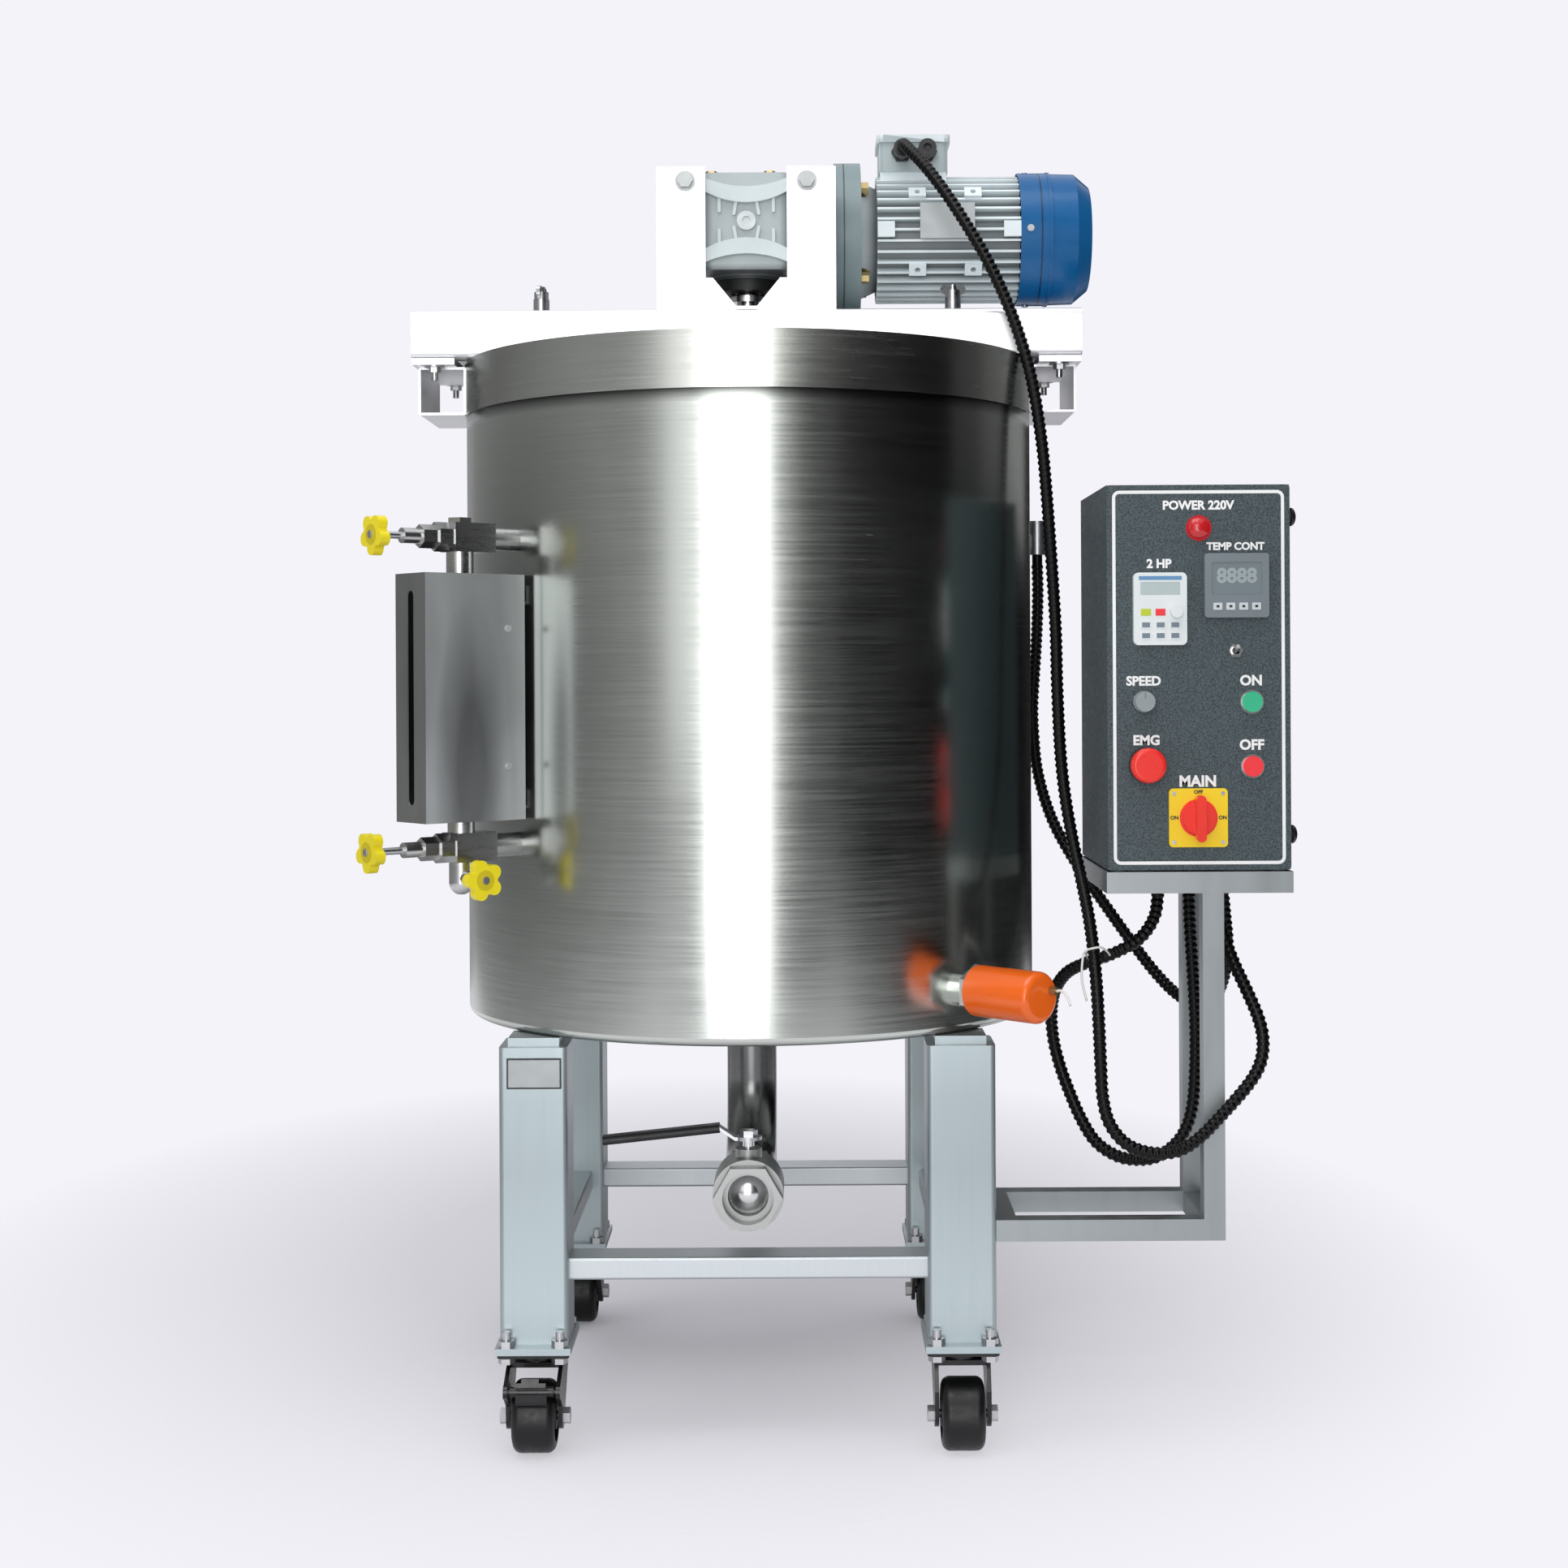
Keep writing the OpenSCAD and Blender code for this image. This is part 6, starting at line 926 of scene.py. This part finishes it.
# The door's controls: lamp, controller, keypad, toggle, knob, two push buttons, emergency stop and
# main switch. Each is moulded in its own colour and clamped in a hole in the door by a black body
# behind it.
lamp_red = moulded("lamp_red", screen_colour(206, 30, 38), 0.10, 0.18, 30, coat=0.4)
ring_chrome = grained_steel("ring_chrome", (0.62, 0.62, 0.63), (0.78, 0.78, 0.79), 0.12, 0.22,
                            (60, 60, 60), 0.02)
button_red = moulded("button_red", screen_colour(250, 52, 62), 0.26, 0.38, 40, coat=0.1)
button_green = moulded("button_green", screen_colour(50, 190, 140), 0.26, 0.38, 40, coat=0.1)
stop_red = moulded("stop_red", screen_colour(246, 44, 34), 0.22, 0.34, 40, coat=0.2)
switch_yellow = moulded("switch_yellow", screen_colour(255, 216, 12), 0.30, 0.42, 40, coat=0.1)
switch_red = moulded("switch_red", screen_colour(246, 48, 30), 0.26, 0.38, 40, coat=0.1)
knob_grey = moulded("knob_grey", screen_colour(150, 158, 162), 0.3, 0.42, 60)
controller_grey = moulded("controller_grey", screen_colour(118, 128, 134), 0.38, 0.5, 60)
screen_glass = moulded("screen_glass", screen_colour(124, 136, 141), 0.10, 0.18, 20, coat=0.3)
keypad_white = moulded("keypad_white", screen_colour(232, 238, 238), 0.36, 0.48, 60)
lamp_ring_depth = 0.0039
screen_lift = 0.008
behind_door = door_y + 0.001
switch_plate_top = 0.775
left_column = 0.5
dress("pilot_lamp", [lamp_red, ring_chrome], lambda c, n: 1 if c.y > door_y - lamp_ring_depth else 0)
dress("temperature_controller", [controller_grey, screen_glass, gland_black],
      lambda c, n: 1 if abs(c.y - (door_y - screen_lift)) < 0.0003 and n.y < -0.9
      else 2 if c.y > behind_door else 0)
dress("control_bezels", [ring_chrome, gland_black, switch_yellow],
      lambda c, n: 1 if c.y > behind_door else 2 if c.z < switch_plate_top else 1 if c.x < left_column else 0)
for node, finish in (("drive_keypad", keypad_white), ("keypad_knob", keypad_white),
                     ("on_button", button_green), ("off_button", button_red), ("emergency_stop", stop_red),
                     ("main_switch", switch_red), ("speed_knob", knob_grey), ("toggle_lever", bolt_dull)):
    dress(node, [finish])


# The door's words: plain white lettering, screen printed on the coat above the controls.
# Each word stands over the middle of its own control.
def on_door(node):
    """The point on the door's front at the middle of a control."""
    low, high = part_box(node)
    return Vector(((low.x + high.x) / 2, door_y, (low.z + high.z) / 2))


def printed_word(name, words, height, at, finish):
    """Plain printed lettering on the door's front, centred on a point."""
    size_for_height = 1.42
    boldness = 0.055
    letters = bpy.data.curves.new(name, "FONT")
    letters.body = words
    letters.size = height * size_for_height
    letters.align_x = "CENTER"
    letters.align_y = "CENTER"
    letters.offset = height * boldness
    letters.resolution_u = 3
    made = bpy.data.objects.new(name, letters)
    scene.collection.objects.link(made)
    bpy.context.view_layer.update()
    mesh = bpy.data.meshes.new_from_object(made.evaluated_get(bpy.context.evaluated_depsgraph_get()))
    bpy.data.objects.remove(made)
    mesh.name = name
    mesh.transform(Matrix.Translation(at) @ Matrix.Rotation(math.radians(90), 4, "X"))
    mesh.materials.clear()
    mesh.materials.append(finish)
    word = bpy.data.objects.new(name, mesh)
    scene.collection.objects.link(word)
    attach(word, "door_body")


word_white = moulded("word_white", screen_colour(252, 252, 252), 0.4, 0.5, 60)
for name, words, control, height, lift in (
        ("word_power", "POWER 220V", "pilot_lamp", 0.0100, 0.0265),
        ("word_temp", "TEMP CONT", "temperature_controller", 0.0085, 0.0455),
        ("word_drive", "2 HP", "drive_keypad", 0.0100, 0.0525),
        ("word_speed", "SPEED", "speed_knob", 0.0105, 0.0235),
        ("word_on", "ON", "on_button", 0.0115, 0.0245),
        ("word_off", "OFF", "off_button", 0.0115, 0.0245),
        ("word_stop", "EMG", "emergency_stop", 0.0110, 0.0285),
        ("word_main", "MAIN", "main_switch", 0.0125, 0.0420)):
    printed_word(name, words, height, on_door(control) + Vector((0, -print_lift, lift)), word_white)

# The switch plate's marks: small dark words at the stops of the main switch, printed on the yellow
# plate, and four plated screws that hold the plate to the door.
mark_dark = moulded("mark_dark", screen_colour(40, 36, 26), 0.4, 0.5, 60)
main_at = on_door("main_switch")
mark_lift = -0.0043
mark_height = 0.0042
mark_side = 0.0282
mark_rise = 0.0300
for name, words, dx, dz in (("mark_off", "OFF", 0.0, mark_rise), ("mark_on_right", "ON", mark_side, 0.0),
                            ("mark_on_left", "ON", -mark_side, 0.0)):
    printed_word(name, words, mark_height, main_at + Vector((dx, mark_lift, dz)), mark_dark)
plate_lift = -0.0040
screw_offset = 0.0285
for number, (side, up) in enumerate(((-1, -1), (1, -1), (-1, 1), (1, 1))):
    screw_at = main_at + Vector((side * screw_offset, plate_lift, up * screw_offset))
    round_bar(f"switch_screw_{number + 1}", 0.0024, 0.0008, screw_at, (0, -1, 0), bolt_steel,
              "door_body", 16, 0.0002)

# The controller's front: a grey display with four unlit digits, and a row of four small rubber keys
# with dark marks below it, set in the moulded front.
controller_at = on_door("temperature_controller")
key_pale = moulded("key_pale", screen_colour(206, 214, 217), 0.4, 0.5, 60)
digit_grey = moulded("digit_grey", screen_colour(158, 170, 174), 0.3, 0.4, 40)
key_count = 4
key_step = 0.015
key_z = -0.0245
key_lift = -0.0095
key_mark_lift = -0.01035
for i in range(key_count):
    key_x = key_step * (i - (key_count - 1) / 2)
    key_at = controller_at + Vector((key_x, key_lift, key_z))
    mark_at = controller_at + Vector((key_x, key_mark_lift, key_z))
    flat_plate(f"controller_key_{i + 1}", (0.0105, 0.0016, 0.0085), key_at, key_pale,
               "door_body", 0.0005)
    flat_plate(f"controller_key_mark_{i + 1}", (0.0035, 0.0004, 0.0028), mark_at, mark_dark,
               "door_body", 0.0001)
printed_word("display_digits", "8888", 0.0165, controller_at + Vector((0, -0.0083, 0.0105)), digit_grey)

# The keypad's front: a printed foil with a pale screen under a thin blue strip, two coloured start
# and stop keys and six more with plain pads, stuck on the moulded case.
keypad_at = on_door("drive_keypad")
strip_blue = moulded("strip_blue", screen_colour(96, 150, 196), 0.35, 0.45, 60)
screen_grey = moulded("screen_grey", screen_colour(192, 206, 206), 0.14, 0.22, 30)
key_grey = moulded("key_grey", screen_colour(118, 134, 146), 0.4, 0.5, 60)
key_lime = moulded("key_lime", screen_colour(196, 214, 40), 0.4, 0.5, 60)
pad_step = 0.017
pad_row = 0.0125
pad_foot = -0.03127
pad_size = (0.0115, 0.0008, 0.0080)
pad_edge = 0.0003
foil_edge = 0.0001
for name, size, place, finish, slot, edge in (
        ("strip", (0.050, 0.0005, 0.0045), (0, -0.0101, 0.0358), strip_blue, "grey_plastic", foil_edge),
        ("screen", (0.0455, 0.0006, 0.0145), (0, -0.0095, 0.0237), screen_grey, "grey_plastic", foil_edge),
        ("pad_1", pad_size, (-pad_step, -0.0102, -0.0040), key_lime, "yellow_plastic", pad_edge),
        ("pad_2", pad_size, (0, -0.0102, -0.0040), button_red, "red_plastic", pad_edge)):
    flat_plate("keypad_" + name, size, keypad_at + Vector(place), finish, "door_body", edge)
for i in range(6):
    across, up = pad_step * (i % 3 - 1), pad_foot + pad_row * (i // 3)
    flat_plate(f"keypad_legend_{i + 1}", (0.0092, 0.0004, 0.0058), keypad_at + Vector((across, -0.0111, up)),
               key_grey, "door_body", foil_edge)
